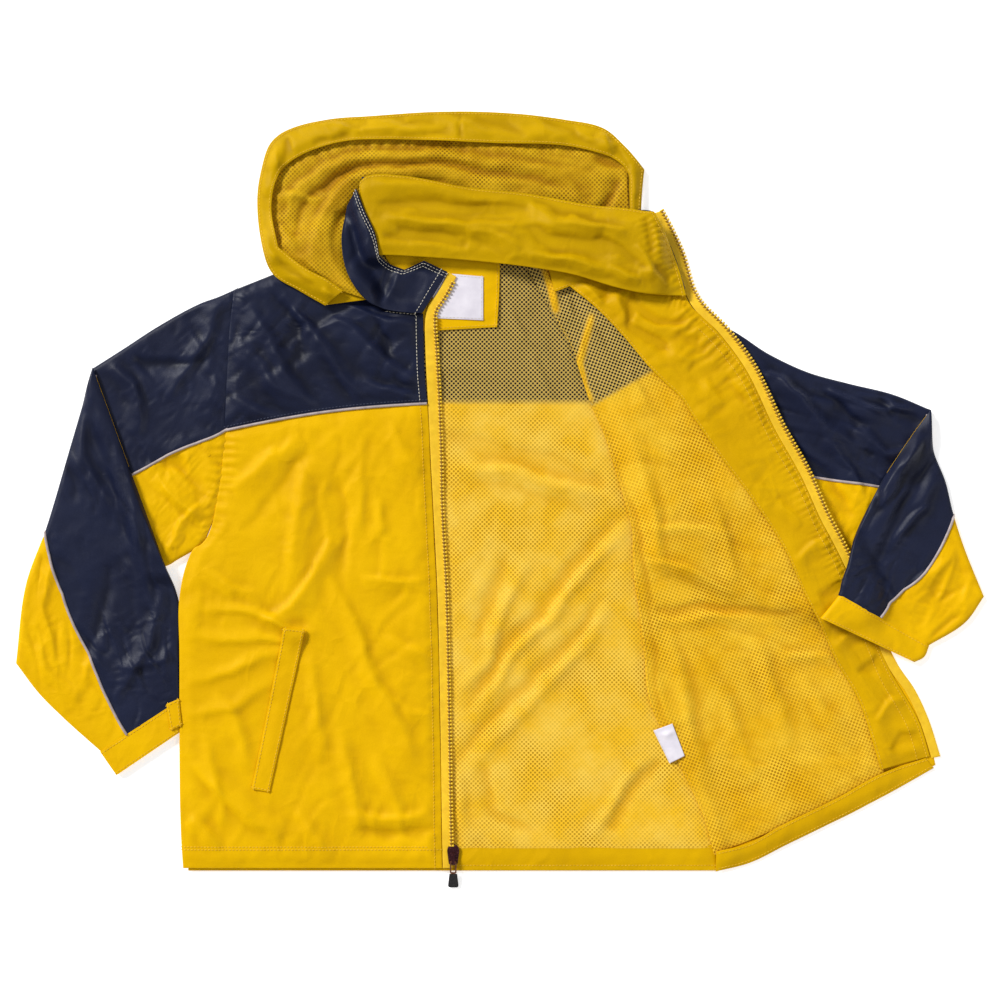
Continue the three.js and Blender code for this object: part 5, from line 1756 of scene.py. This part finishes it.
def sleeve_left() -> Sleeve:
    """The wearer's left sleeve."""
    return Sleeve(
        "left",
        upper=((94, 169, 126, -18.5, 0.5), (144, 163.5, 171, -41, 0.5), (202.5, 155.5, 216, -59, 0.49),
               (243, 131, 247.5, -72.5, 0.48), (277.5, 115, 270, -81.5, 0.47),
               (313.5, 105, 286.5, -85, 0.46),
               (354, 95, 297, -85, 0.45), (387, 81.5, 305, -81, 0.44)),
        lower=((387.5, 81.5, 316, -37.5, -0.04, -5), (390, 46.5, 313.5, -47, -0.04, -3),
               (401.5, 16, 311.5, -54.5, -0.04),
               (408, -11, 309.8, -60.5, -0.02), (418, -42.5, 307, -68, 0.22), (435.9, -87, 305, -75, 0.55),
               (419.5, -110, 304, -80.5, 0.6), (385.5, -131.5, 302.5, -85, 0.54)),
        cuff=((386.6, -131.2, 303.6, -84.6), (382, -141.5, 294.5, -96), (373, -146, 286.5, -105.5)),
        upper_relief=Relief(creases=(
            (6.4, 14, 0.4, 250, 110, 290, 70, 330, 40),
            (6.0, 12, 0.4, 290, 100, 330, 84, 372, 80),
            (-5.0, 11, 0.35, 262, 60, 300, 20, 318, -20),
            (3.8, 10, 0.35, 280, 20, 300, -30, 304, -66),
            (4.6, 10, 0.4, 322, 66, 346, 44, 374, 50),
            (5.0, 12, 0.4, 232, 126, 262, 96, 300, 84), (-4.6, 9, 0.3, 340, 98, 352, 80, 384, 70),
            (4.4, 10, 0.4, 296, 60, 322, 24, 330, -6),
            (-4.4, 9, 0.3, 274, 96, 296, 88, 330, 64)),
            wrinkle=1.7, pitch=24, angle=-28),
        lower_relief=Relief(creases=(
            (5.4, 11, 0.35, 382, 62, 360, 30, 340, -6),
            (4.4, 11, 0.35, 396, 20, 372, -10, 350, -50),
            (-4.0, 10, 0.35, 360, 56, 344, 20, 330, -30),
            (2.2, 10, 0.35, 412, -40, 396, -70, 370, -100),
            (1.8, 8, 0.35, 340, -60, 352, -84, 372, -100)), wrinkle=1.6, pitch=24, angle=52),
        taper=40.0, start=2.0)


BINDING = (83, 168, 76, 141, 71.5, 123, 76, 102, 83, 88)
RUFFLE = (39, 212, 46, 192, 51, 168)
YOKE_SEAM = ((85, 88), (196, 151.3))
SEAM_DROP = 2.0


@dataclass
class LeftFront:
    """The wearer's left front, turned open with its lining, facing and zip up."""

    yoke: tuple = (
        (28, 207.8, 166, 187, -3), (42.5, 186, 173, 174), (53, 165, 180, 166), (69, 134.5, 188, 159),
        (85, 88, 196, 151.3))
    body: tuple = (
        (86, 85.8, 197, 149.5), (97, 61.5, 208, 134.5), (108, 27.5, 232, 92.5), (115, 5, 246, 65.5),
        (123.5, -27.5, 270, 21.5),
        (124, -44.5, 286.5, -15), (124.5, -60, 303.5, -47), (126, -77, 315, -72.5), (129, -95, 327.5, -99),
        (134, -135.5, 338.5, -126.5), (139, -180.5, 351, -151.5), (162, -230, 366.5, -174),
        (191, -293, 385.5, -221),
        (196.5, -330, 390, -240, -8))
    lining: tuple = (
        (30, 206, 62, 207), (41, 188, 66, 193), (48.5, 174, 85, 173), (58, 155, 111, 146),
        (69, 134.5, 134, 118.5), (78, 109, 162, 91.5),
        (86, 86, 172, 76), (97, 61.5, 190, 50), (108, 27.5, 216, 15), (115, 5, 231, -6),
        (123.5, -27.5, 246, -29),
        (124, -44.5, 255, -44.5), (124.5, -60, 262, -62), (126, -77, 270, -80), (129, -95, 279, -98),
        (134, -135.5, 299, -138),
        (139, -180.5, 322, -179), (162, -230, 336, -222), (189, -288, 342, -244),
        (196, -314.5, 342.5, -245.3, -4))
    facing: tuple = (
        (51, 189, 45, 212), (63, 193.5, 68, 211), (86, 174.5, 102, 204), (112, 147.5, 137, 196),
        (135.3, 119.5, 165, 188.5), (149, 106, 172, 174),
        (163.2, 92.5, 180, 166), (173.3, 76.5, 195.5, 150.8), (197.5, 41, 219, 119.2),
        (226.3, 2.5, 245.5, 65.3),
        (256, -43.5, 270, 21.7), (272, -79.5, 286, -14.8), (289.3, -113.5, 303, -47.2),
        (303.7, -145, 327, -99.2),
        (323.5, -178.5, 350.5, -151.5), (338, -221.5, 378, -200.5), (344, -242.5, 387.5, -231))
    hem: tuple = (
        (197.5, -315.5, 197.5, -334), (225, -308.5, 225, -327), (252, -293.5, 257.5, -311),
        (303.5, -268.3, 310.5, -285),
        (342, -246.8, 353, -263), (383.5, -232.5, 391, -241.5))
    tape: tuple = (
        (139, 258.7, 146, 261), (147, 243.5, 154, 246), (157.7, 219, 165, 222), (166.8, 188.6, 174, 191.3),
        (173.7, 174, 180.2, 178.7), (197.2, 150.4, 202.7, 155.3), (220, 119.3, 226, 124),
        (246.5, 65.2, 253, 69),
        (271, 21.5, 277.5, 25.7), (287.2, -15, 293.6, -11.2), (304.3, -47.4, 310.7, -43.6),
        (328.4, -99.4, 335, -96),
        (351.6, -151.8, 358.4, -148), (367.3, -174.3, 373.7, -170.5), (379.5, -200.8, 386.3, -197.5),
        (389.8, -232.6, 397, -231))
    care_label: tuple = ((138, -207.5, 155, -201), (152.5, -237, 166, -230))
    grain: float = 24.0
    lining_relief: Relief = Relief(creases=(
        (2.6, 11, 0.35, 56, 150, 62, 128, 70, 105),
        (-2.8, 6, 0.35, 136, -96, 200, -98, 275, -97),
        (2.2, 8, 0.35, 252, -140, 300, -139),
        (2.6, 13, 0.35, 120, 60, 136, 0, 150, -70),
        (3, 13, 0.35, 150, -115, 170, -190, 190, -260),
        (2.6, 12, 0.35, 230, -120, 246, -170, 260, -220),
        (2.4, 12, 0.35, 180, 20, 198, -26, 215, -70),
        (2.2, 11, 0.35, 110, 120, 122, 98, 135, 75),
        (-2.6, 9, 0.35, 96, 66, 106, 30, 118, -4, 134, -92, 140, -180, 160, -230),
        (2, 12, 0.35, 170, -130, 205, -190, 230, -250),
        (2, 10, 0.35, 270, -160, 290, -190, 318, -215),
        (2, 10, 0.35, 105, 10, 122, -40, 128, -80),
        (2.2, 8, 0.35, 123, -20, 171, -26, 210, -31),
        (2.6, 8, 0.35, 132, -53, 169, -63, 210, -88),
        (2.2, 6, 0.35, 140, -105, 180, -108, 234, -101),
        (-6.0, 9, 0, 36, 178, 48, 171, 60, 152, 66, 134),
        (3.0, 7, 0, 32, 188, 42, 176, 62, 142),
        (2.6, 8, 0.35, 60, 188, 70, 168, 92, 140),
        (-2.4, 8, 0.35, 90, 158, 96, 140, 112, 118),
        (2.6, 5, 0, *RUFFLE),
        (2.0, 4.5, 0, *BINDING)), wrinkle=0.6, pitch=30, puff=1.4, angle=-20)
    facing_relief: Relief = Relief(creases=(
        (-4.6, 9, 0.3, 117, 186, 122, 174, 136, 168, 166, 158),
        (-4.2, 8, 0.3, 113, 160, 130, 153, 143, 147, 149, 138, 158, 130),
        (4.2, 9, 0.4, 118, 172, 141, 163, 168, 153),
        (-3.4, 6, 0, 114, 155, 118, 174, 116, 190),
        (3.6, 8, 0.3, 70, 198, 84, 187, 93, 178),
        (3.4, 8, 0.3, 96, 196, 104, 182, 112, 160),
        (-2.6, 6, 0, 82, 200, 92, 191, 98, 178),
        (3.0, 9, 0.3, 150, 140, 160, 128, 172, 118),
        (-2.6, 9, 0.3, 160, 150, 172, 140, 186, 122),
        (2.8, 10, 0.35, 185, 110, 192, 98, 200, 85),
        (-2.4, 10, 0.35, 204, 120, 214, 96, 226, 70),
        (2.4, 9, 0.35, 250, 0, 258, -10, 268, -22),
        (2.6, 10, 0.35, 262, -60, 280, -40, 296, -44),
        (-3.0, 11, 0.35, 286, -90, 302, -76, 318, -78),
        (2.6, 10, 0.35, 300, -130, 318, -112, 336, -118),
        (-3.0, 11, 0.35, 322, -160, 338, -146, 352, -148),
        (2.8, 10, 0.35, 340, -200, 354, -182, 368, -180),
        (-2.4, 9, 0.35, 350, -228, 362, -214, 378, -210)),
        puckers=(Pucker(((150, 188), (170, 184), (188, 159), (219, 119),
                         (270, 22), (327, -99)), 1.0, 5.6, 20),
                 Pucker(((160, 170), (180, 140), (205, 105)), 0.9, 11, 30)),
        wrinkle=0.8, pitch=26, puff=2.0, angle=20)

    def build(self, shop: Workshop) -> None:
        """Lays the shell, the lining, the facing, the hem, the tape and the care label."""
        upper = [f"left_sleeve_upper_{part}" for part in ("navy", "yellow", "piping")]
        shell = ["left_front_yoke", "left_front_body"]
        shop.lay(shell[0], NAVY, Slot.NAVY, self.yoke, on=upper, step=6, sides=ALL_FLAT, grow=(8, 0.8),
                 widen=(0, 2.5), seat=[])
        shop.lay(shell[1], YELLOW, Slot.YELLOW, self.body, on=upper, step=6, sides=ALL_FLAT, grain=self.grain,
                 widen=(0, 3), seat=[])
        lining = shop.lay("left_front_lining", FRONT_NET, Slot.MESH, self.lining,
                          on=[*shell, *upper, "back_lining", "back_hem"], wall=MESH,
                          relief=self.lining_relief, grain=self.grain, step=2.8, under=self.dark_behind,
                          sides=(Side.FREE, Side.SEAM, Side.FLAT, Side.FREE), widen=(4.5, 3.5), grow=(6, 3),
                          seat=["back_lining", "back_hem"])
        facing = shop.lay("left_front_facing", HALF_SHADED, Slot.YELLOW, self.facing,
                          on=[*shell, *upper, "left_front_lining"], relief=self.facing_relief,
                          sides=(Side.SEAM, Side.FREE, Side.FREE, Side.FREE), grain=self.grain, step=2.0,
                          widen=(1.5, 0), grow=(2.5, 0))
        hem = shop.lay("left_front_hem", HALF_SHADED, Slot.YELLOW, self.hem, step=2.4,
                       on=["left_front_body", "left_front_lining"], grain=self.grain, grow=(3.2, 0),
                       relief=Relief(wrinkle=0.5, pitch=26, puff=0.8))
        tape = shop.lay("left_zip_tape", TAPE, Slot.TAPE, self.tape, on=[*upper, *shell], wall=MESH, step=2,
                        soften=3, widen=(0.8, 0), relief=Relief(wrinkle=0.25, pitch=26, puff=0.6))
        shop.teeth("left_zip_teeth", tape.along(0.4, True, 0.0, 0.79, 0.2))
        bent = Relief(creases=((1.6, 5, 0.35, 140, -214, 160, -208),), wrinkle=0.5, pitch=14, puff=0.8)
        label = shop.lay("care_label", SATIN, Slot.LABEL, self.care_label, on=["left_front_lining"], wall=0.6,
                         soften=2, step=1.5, relief=bent)
        sewn = [facing.along(2.0), facing.along(3.0, True, 0.28), facing.along(12.0, True, 0.28)]
        shop.stitch("left_facing_stitches", sewn)
        shop.stitch("left_hem_stitches", [hem.along(2.2), hem.along(2.4, True)])
        shop.stitch("care_label_stitches", [label.along(0.8)], CREAM, Slot.LABEL, 0.35)
        shop.stitch("left_lining_seam_stitches", [lining.along(2.0, False, 0.1, 0.95)])

    @staticmethod
    def dark_behind(x: Array, y: Array) -> Array:
        """Where the navy yoke lies behind the lining: above its seam, beside binding and ruffle."""
        light = np.zeros(x.shape)
        for width, path in ((4.6, BINDING), (5.0, RUFFLE)):
            light = np.maximum(light, np.clip(3 * crease((1, width, 0, *path), x, y), 0, 1))
        (x0, y0), (x1, y1) = YOKE_SEAM
        above = (y - y0 + SEAM_DROP) - (x - x0) * (y1 - y0) / (x1 - x0)
        return smooth_step(above + DARK_LEAD, DARK_BLUR) * (1 - light)


@dataclass
class Hood:
    """The hood, lying open with its net lining up."""

    brim: tuple = (
        (-156.5, 174, -140, 187), (-180, 187.5, -153.5, 196.5), (-204, 203, -174.5, 207.5),
        (-213, 225.5, -198.5, 226.5),
        (-218.5, 269.5, -205, 265), (-214, 301, -197, 295), (-207, 321, -189, 303),
        (-195, 331.5, -171, 313),
        (-156.5, 342.5, -139, 322), (-114, 346, -108.5, 323.5), (-57.5, 349.7, -57.5, 322.5),
        (0, 349, 0, 320),
        (59.5, 342.5, 59.5, 318), (94, 334.5, 87.5, 312), (112.5, 318, 103, 306), (130, 297.5, 115, 293.5),
        (128, 278.5, 116, 279), (127, 259, 116.5, 260), (129, 224.5, 118, 224.5), (126, 201, 117.5, 203))
    lining: tuple = (
        (-139.4, 186.8, -119.5, 180.5), (-152.8, 196.2, -127.5, 193), (-173.8, 207.6, -137.5, 208.5),
        (-197.8, 226.4, -143, 229), (-204.3, 264.8, -141, 258), (-196.3, 294.5, -126, 256),
        (-188.4, 302.2, -112.5, 241),
        (-170.4, 312.3, -99, 226.5), (-138.6, 321.3, -85.5, 223.5), (-108.3, 322.8, -67.5, 223),
        (-57.4, 321.8, -45, 221),
        (0, 319.3, -4.5, 216.5), (59.2, 317.3, 36, 212), (88, 311, 63, 208.5), (103, 306, 78, 206),
        (115, 294, 96, 205),
        (116.5, 268, 108, 204.5), (117.5, 240, 116, 204))
    side_right: tuple = (
        (-155.5, 175, -116, 180), (-179, 188.5, -122, 196), (-203, 204, -128, 212),
        (-212, 225.5, -132, 232),
        (-217.5, 269.5, -132, 257), (-213, 300, -124, 256), (-206, 320, -109.5, 241),
        (-194, 330.5, -97, 226.5),
        (-155.5, 341.5, -84, 223.5), (-113, 345, -66, 223), (-57.5, 348.7, -45.5, 221),
        (-38.6, 348.7, -38.6, 220.5))
    side_left: tuple = (
        (-37.4, 348.7, -37.4, 220), (0, 348, -4.5, 216.5), (59.5, 341.5, 36, 212), (93, 333.5, 63, 208.5),
        (111.5, 317, 83, 206), (129, 297, 90, 205.5), (127, 278.5, 94, 205), (125, 259, 97, 204),
        (128, 224.5, 99, 203),
        (125, 202, 101, 202))
    lining_relief: Relief = Relief(creases=(
        (5.5, 11, 0.35, -193, 246, -183, 274, -163, 297, -139, 306, -96, 312, -53, 312,
         0, 300, 60, 296, 96, 290),
        (-4.0, 7, 0.35, -185, 234, -176, 260, -167, 280, -145, 293, -124, 302, -96, 304, -40, 303, 10, 292),
        (5.5, 12, 0.35, -164, 214, -160, 248, -150, 274, -133, 288, -110, 298, -60, 298, 10, 284, 70, 270),
        (-3.5, 7, 0.35, -146, 212, -150, 236, -142, 258, -124, 276, -100, 284, -40, 286, 20, 272),
        (4.0, 8, 0.35, -201, 276, -182, 274, -162, 268),
        (2.6, 8, 0.35, -204, 252, -190, 240, -178, 226),
        (3.0, 9, 0.35, -150, 192, -162, 206, -174, 220),
        (2.6, 8, 0.35, -20, 318, 20, 310, 70, 306),
        (3.4, 10, 0.35, 30, 302, 60, 284, 80, 262),
        (3.0, 9, 0.35, -60, 290, -20, 282, 30, 268),
        (-4.0, 8, 0, 84, 311, 100, 304, 115, 296),
        (-5.0, 9, 0.35, 114, 290, 103, 276, 90, 258, 84, 232),
        (2.6, 8, 0.35, 110, 250, 106, 232, 106, 210)),
        puckers=(Pucker(((-198, 226), (-205, 265), (-188, 302), (-139, 321), (-57, 322),
                         (59, 317)), 0.8, 12, 14),),
        wrinkle=0.9, pitch=24, puff=4.4, angle=15)
    brim_relief: Relief = Relief(creases=(
        (4.2, 8, 0.3, -208, 316, -199, 298, -196, 276),
        (-4.0, 7, 0.3, -196, 326, -190, 308, -184, 298),
        (-2.6, 8, 0.3, -214, 286, -208, 262, -206, 240),
        (3.2, 10, 0.4, -184, 340, -150, 336, -120, 322),
        (-3.0, 10, 0.4, -170, 322, -148, 320, -130, 330),
        (3.0, 12, 0.4, -124, 346, -96, 338, -60, 322),
        (-2.6, 10, 0.4, -106, 322, -76, 326, -46, 340),
        (2.8, 12, 0.4, -62, 350, -34, 340, -6, 322),
        (-2.4, 10, 0.4, -20, 348, 4, 338, 22, 324),
        (-1.6, 3, 0, -37, 352, -37.5, 338, -38, 318),
        (2.8, 11, 0.4, 14, 348, 36, 336, 60, 320),
        (-2.6, 9, 0.4, 52, 344, 70, 332, 86, 316),
        (3.6, 8, 0.3, 92, 334, 98, 322, 106, 310),
        (-2.8, 7, 0.3, 108, 318, 112, 306, 120, 294),
        (2.6, 6, 0.3, 122, 300, 122, 276, 122, 250),
        (3.0, 7, 0.3, -214, 238, -206, 222, -196, 210),
        (-3.0, 8, 0.3, -200, 216, -184, 204, -164, 192),
        (3.6, 6, 0.3, -156, 192, -146, 184, -136, 182)), wrinkle=0.9, pitch=28, puff=2.0, angle=10)

    def build(self, shop: Workshop) -> list[str]:
        """Lays the shell sides, the lining and the brim.

        Returns:
            The names of its nodes.
        """
        below_hood = ["back_yoke", "back_body", "back_lining", "neck_patch", "neck_label", "right_front_yoke",
                      "left_front_yoke", "left_front_facing", "left_front_lining"]
        soft = Relief(wrinkle=0.5, pitch=34, puff=1.0)
        shell = ["hood_side_right", "hood_side_left"]
        for node, rows, grow in zip(shell, (self.side_right, self.side_left), ((0, 0.5), (0.5, 4))):
            shop.lay(node, SHADED, Slot.YELLOW, rows, on=below_hood, step=5, relief=soft, grow=grow)
        shop.lay("hood_lining", SHADED_HOOD_NET, Slot.MESH, self.lining, on=[*shell, *below_hood],
                 wall=MESH, step=2.6, relief=self.lining_relief,
                 sides=(Side.SEAM, Side.FREE, Side.SEAM, Side.FREE), widen=(4, 2), grow=(1, 6))
        brim = shop.lay("hood_brim", SHADED, Slot.YELLOW, self.brim, on=[*shell, *below_hood, "hood_lining"],
                        step=2.2, relief=self.brim_relief, grow=(0, 4))
        shop.stitch("hood_brim_stitches", [brim.along(2.0, True), brim.along(2.2)])
        return [*shell, "hood_lining", "hood_brim"]


@dataclass
class Collar:
    """The stand-up collar, lying open: its back with the inner facing, and its right end."""

    right: tuple = (
        (-69.1, 168.8, -47, 204.8), (-83.5, 169.5, -68, 214), (-100.5, 172, -86, 207),
        (-109.5, 175, -99.5, 212),
        (-117.5, 178.8, -107.8, 218.5), (-134.8, 202.2, -111.5, 238), (-141, 233.5, -121, 259),
        (-136.5, 265, -128.5, 278.5))
    back: tuple = (
        (-104, 223, -124, 289.5, 4), (-72, 220.5, -90, 290), (-18, 216.5, -27.5, 279),
        (27, 211.5, 25.5, 273.5),
        (65, 206.5, 78.5, 264), (106, 196.5, 117, 260.5), (130.5, 191.5, 131, 260),
        (166, 190, 138, 259.5, -3.4))
    inner_drop: tuple = ((0, 60, 90), (0, 1.5, 4.2))
    inner_lift: tuple = ((110, 131), (0.8, -1.5))
    rounded: tuple = ((-112, 221.5, -126.3, 277, 3), (-109, 221.6, -125.5, 285.5, 3.5),
                      (-102, 221.7, -119, 290.2, 4))
    relief: Relief = Relief(creases=(
        (3.4, 10, 0.35, -116, 283, -60, 282, -8, 272),
        (-4.4, 12, 0.35, -112, 264, -60, 266, 0, 264, 30, 256),
        (4.2, 12, 0.4, -108, 250, -50, 248, -13, 246, 34, 243),
        (-5.4, 13, -0.3, -108, 231, -80, 233, -54, 233, -30, 226),
        (3.6, 10, 0.3, -30, 242, -6, 236, 20, 222),
        (-6.0, 14, 0.2, 12, 246, 40, 236, 74, 228, 104, 218),
        (4.4, 8, 0.2, 26, 217, 60, 215, 96, 206),
        (-3.6, 9, 0.3, 30, 272, 60, 262, 84, 258),
        (4.2, 10, 0.3, 24, 262, 50, 250, 92, 243),
        (-4.0, 8, 0.3, 84, 236, 106, 222, 120, 206),
        (-3.6, 7, 0, 132, 256, 135, 238, 133, 214),
        (4.0, 8, 0.4, 60, 256, 84, 246, 114, 238),
        (4.4, 7, 0.3, 94, 208, 110, 197, 124, 194),
        (3.6, 6, 0.3, 121, 226, 128, 210, 136, 196),
        (-4.0, 6, 0, 134, 208, 144, 201, 154, 194),
        (3.0, 6, 0.3, 120, 200, 134, 203, 148, 196)),
        puckers=(Pucker(((134, 258), (149, 226), (168, 192)), 1.1, 5.6, 22),),
        wrinkle=0.7, pitch=28, puff=2.2, angle=-8)
    right_relief: Relief = Relief(creases=(
        (3.2, 9, 0.35, -104, 172, -94, 190, -88, 207),
        (-2.8, 8, 0.35, -116, 182, -104, 196, -100, 212),
        (2.6, 10, 0.35, -134, 208, -122, 232, -124, 262)), wrinkle=0.6, pitch=26, puff=1.6)

    def build(self, shop: Workshop, hood: list[str]) -> None:
        """Lays the collar over the hood and sews it."""
        below_collar = ["back_yoke", "back_lining", "neck_patch", "neck_label", "right_front_yoke",
                        "left_front_yoke", "left_front_facing", "left_front_lining", *hood,
                        "right_zip_tape", "left_zip_tape"]
        shop.lay("collar_outer_back", NAVY, Slot.NAVY, self.back, on=below_collar, step=3, widen=(1, 0),
                 relief=Relief(wrinkle=0.3, pitch=30, puff=0.4))
        rows = list(self.rounded)
        for x0, y0, x1, y1, *rest in self.back[1:]:
            low = y0 - 0.4 - float(np.interp(x0, *self.inner_drop))
            rows.append((x0, low, x1, y1 + float(np.interp(x1, *self.inner_lift)), *rest))
        inner = shop.lay("collar_inner", SHADED, Slot.YELLOW, rows, on=["collar_outer_back", *below_collar],
                         step=1.9, relief=self.relief, widen=(2.5, 0))
        right = shop.lay("collar_outer_right", NAVY, Slot.NAVY, self.right,
                         on=["collar_outer_back", "collar_inner", *below_collar], step=2, soften=2,
                         relief=self.right_relief, widen=(1.5, 0))
        sewn = [right.along(2.0, True), right.along(4.6, True), right.across(6.0)]
        shop.stitch("collar_right_stitches", sewn, CREAM, Slot.NAVY)
        shop.stitch("collar_inner_stitches", [inner.along(1.8, True), inner.across(3.0, True)])


def close_parts(name: str, node: str, bevel: float) -> bpy.types.Object:
    """A merged copy of a CAD node with bevelled edges.

    Args:
        name: the new piece.
        node: the node.
        bevel: the bevel's width in metres.

    Returns:
        The new object.
    """
    mesh = bpy.data.objects[node].data.copy()
    made = linked(name, mesh)
    weld = made.modifiers.new("weld", "WELD")
    weld.merge_threshold = 1e-5
    soften = made.modifiers.new("bevel", "BEVEL")
    soften.width = bevel
    soften.segments = 3
    soften.angle_limit = math.radians(35)
    result = baked(made)
    made.modifiers.clear()
    made.data = result
    return made


@dataclass
class ZipPull:
    """The slider, its wire link and the tab."""

    bevel: float = 0.00035
    slider_bevel: float = 0.0008

    def build(self, shop: Workshop) -> None:
        """Dresses the slider on the coat, and the link and the tab on the pull."""
        for node, finish, slot, body, bevel in (
                ("zip_slider", METAL, Slot.METAL, "coat", self.slider_bevel),
                ("zip_link", WIRE, Slot.METAL, "pull", self.bevel),
                ("zip_tab", RUBBER, Slot.TAB, "pull", self.bevel)):
            piece = close_parts(node + "_shaped", node, bevel)
            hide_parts(node)
            shop.enter(piece, slot, finish, body)


@dataclass
class Studio:
    """The pale floor, the soft lights and the camera above."""

    camera_height: float = 2.205
    floor_half: float = 60.0
    floor_top: float = -0.0006
    lens: float = 88.0
    room: float = 0.34
    key: float = 3.3
    fill: float = 0.5

    def build(self) -> None:
        """Sets up what isn't part of the coat."""
        scene = bpy.context.scene
        scene.view_settings.view_transform = "Standard"
        mesh = bpy.data.meshes.new("floor")
        far, low = self.floor_half, self.floor_top
        corners = [(-far, -far, low), (far, -far, low), (far, far, low), (-far, far, low)]
        mesh.from_pydata(corners, [], [(0, 1, 2, 3)])
        floor = linked("floor", mesh)
        paper = bpy.data.materials.new("white_floor")
        paper.use_nodes = True
        shader = paper.node_tree.nodes["Principled BSDF"]
        looks = {"Base Color": (0.96, 0.96, 0.96, 1), "Roughness": 0.9, "Specular IOR Level": 0.1,
                 "Emission Color": (1, 1, 1, 1), "Emission Strength": 0.5}
        for key, value in looks.items():
            shader.inputs[key].default_value = value
        mesh.materials.append(paper)
        floor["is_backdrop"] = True
        world = bpy.data.worlds.new("pale_room")
        world.use_nodes = True
        sky = world.node_tree.nodes["Background"].inputs
        sky["Color"].default_value = (1, 1, 1, 1)
        sky["Strength"].default_value = self.room
        scene.world = world
        self.sun("key", (-0.62, 0.52, 0.6), self.key, 16)
        self.sun("fill", (0.7, -0.3, 1.0), self.fill, 40)
        camera = linked("camera", bpy.data.cameras.new("camera"))
        camera.data.lens = self.lens
        camera.data.sensor_width = 36
        camera.location = (0, 0, self.camera_height)
        scene.camera = camera

    @staticmethod
    def sun(name: str, toward: tuple[float, float, float], power: float, softness: float) -> None:
        """An even light from far away.

        Args:
            name: the lamp.
            toward: the way towards it.
            power: its strength in watts a square metre.
            softness: how wide it looks, in degrees.
        """
        data = bpy.data.lights.new(name, "SUN")
        data.energy = power
        data.angle = math.radians(softness)
        lamp = linked(name, data)
        x, y, z = toward
        lamp.rotation_euler = (math.atan2(math.hypot(x, y), z), 0, math.atan2(x, -y))


def main() -> dict[str, object]:
    """Builds the raincoat from the back up.

    Returns:
        The CAD model's box and the visual model's box.
    """
    logging.basicConfig(level=logging.INFO, format="%(name)s: %(message)s")
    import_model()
    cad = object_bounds()
    Studio().build()
    shop = Workshop()
    Back().build(shop)
    RightFront().build(shop)
    right, left = sleeve_right(), sleeve_left()
    right_upper = right.build_upper(shop)
    right.build_lower(shop, right_upper, [])
    left_upper = left.build_upper(shop)
    LeftFront().build(shop)
    under = [*left_upper, "left_front_yoke", "left_front_body", "left_front_facing", "left_front_lining",
             "left_zip_tape", "left_front_hem"]
    left.build_lower(shop, under, under)
    hood = Hood().build(shop)
    Collar().build(shop, hood)
    tab = shop.lay("right_cuff_tab", YELLOW, Slot.YELLOW, CUFF_TAB,
                   on=["right_cuff", "right_sleeve_lower_navy"], step=1.6, soften=2,
                   relief=Relief(wrinkle=0.2, puff=0.4))
    shop.stitch("cuff_tab_stitches", tab.round_it(1.6))
    ZipPull().build(shop)
    return {"cad": cad, "visual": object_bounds()}


if __name__ == "__main__":
    boxes = main()
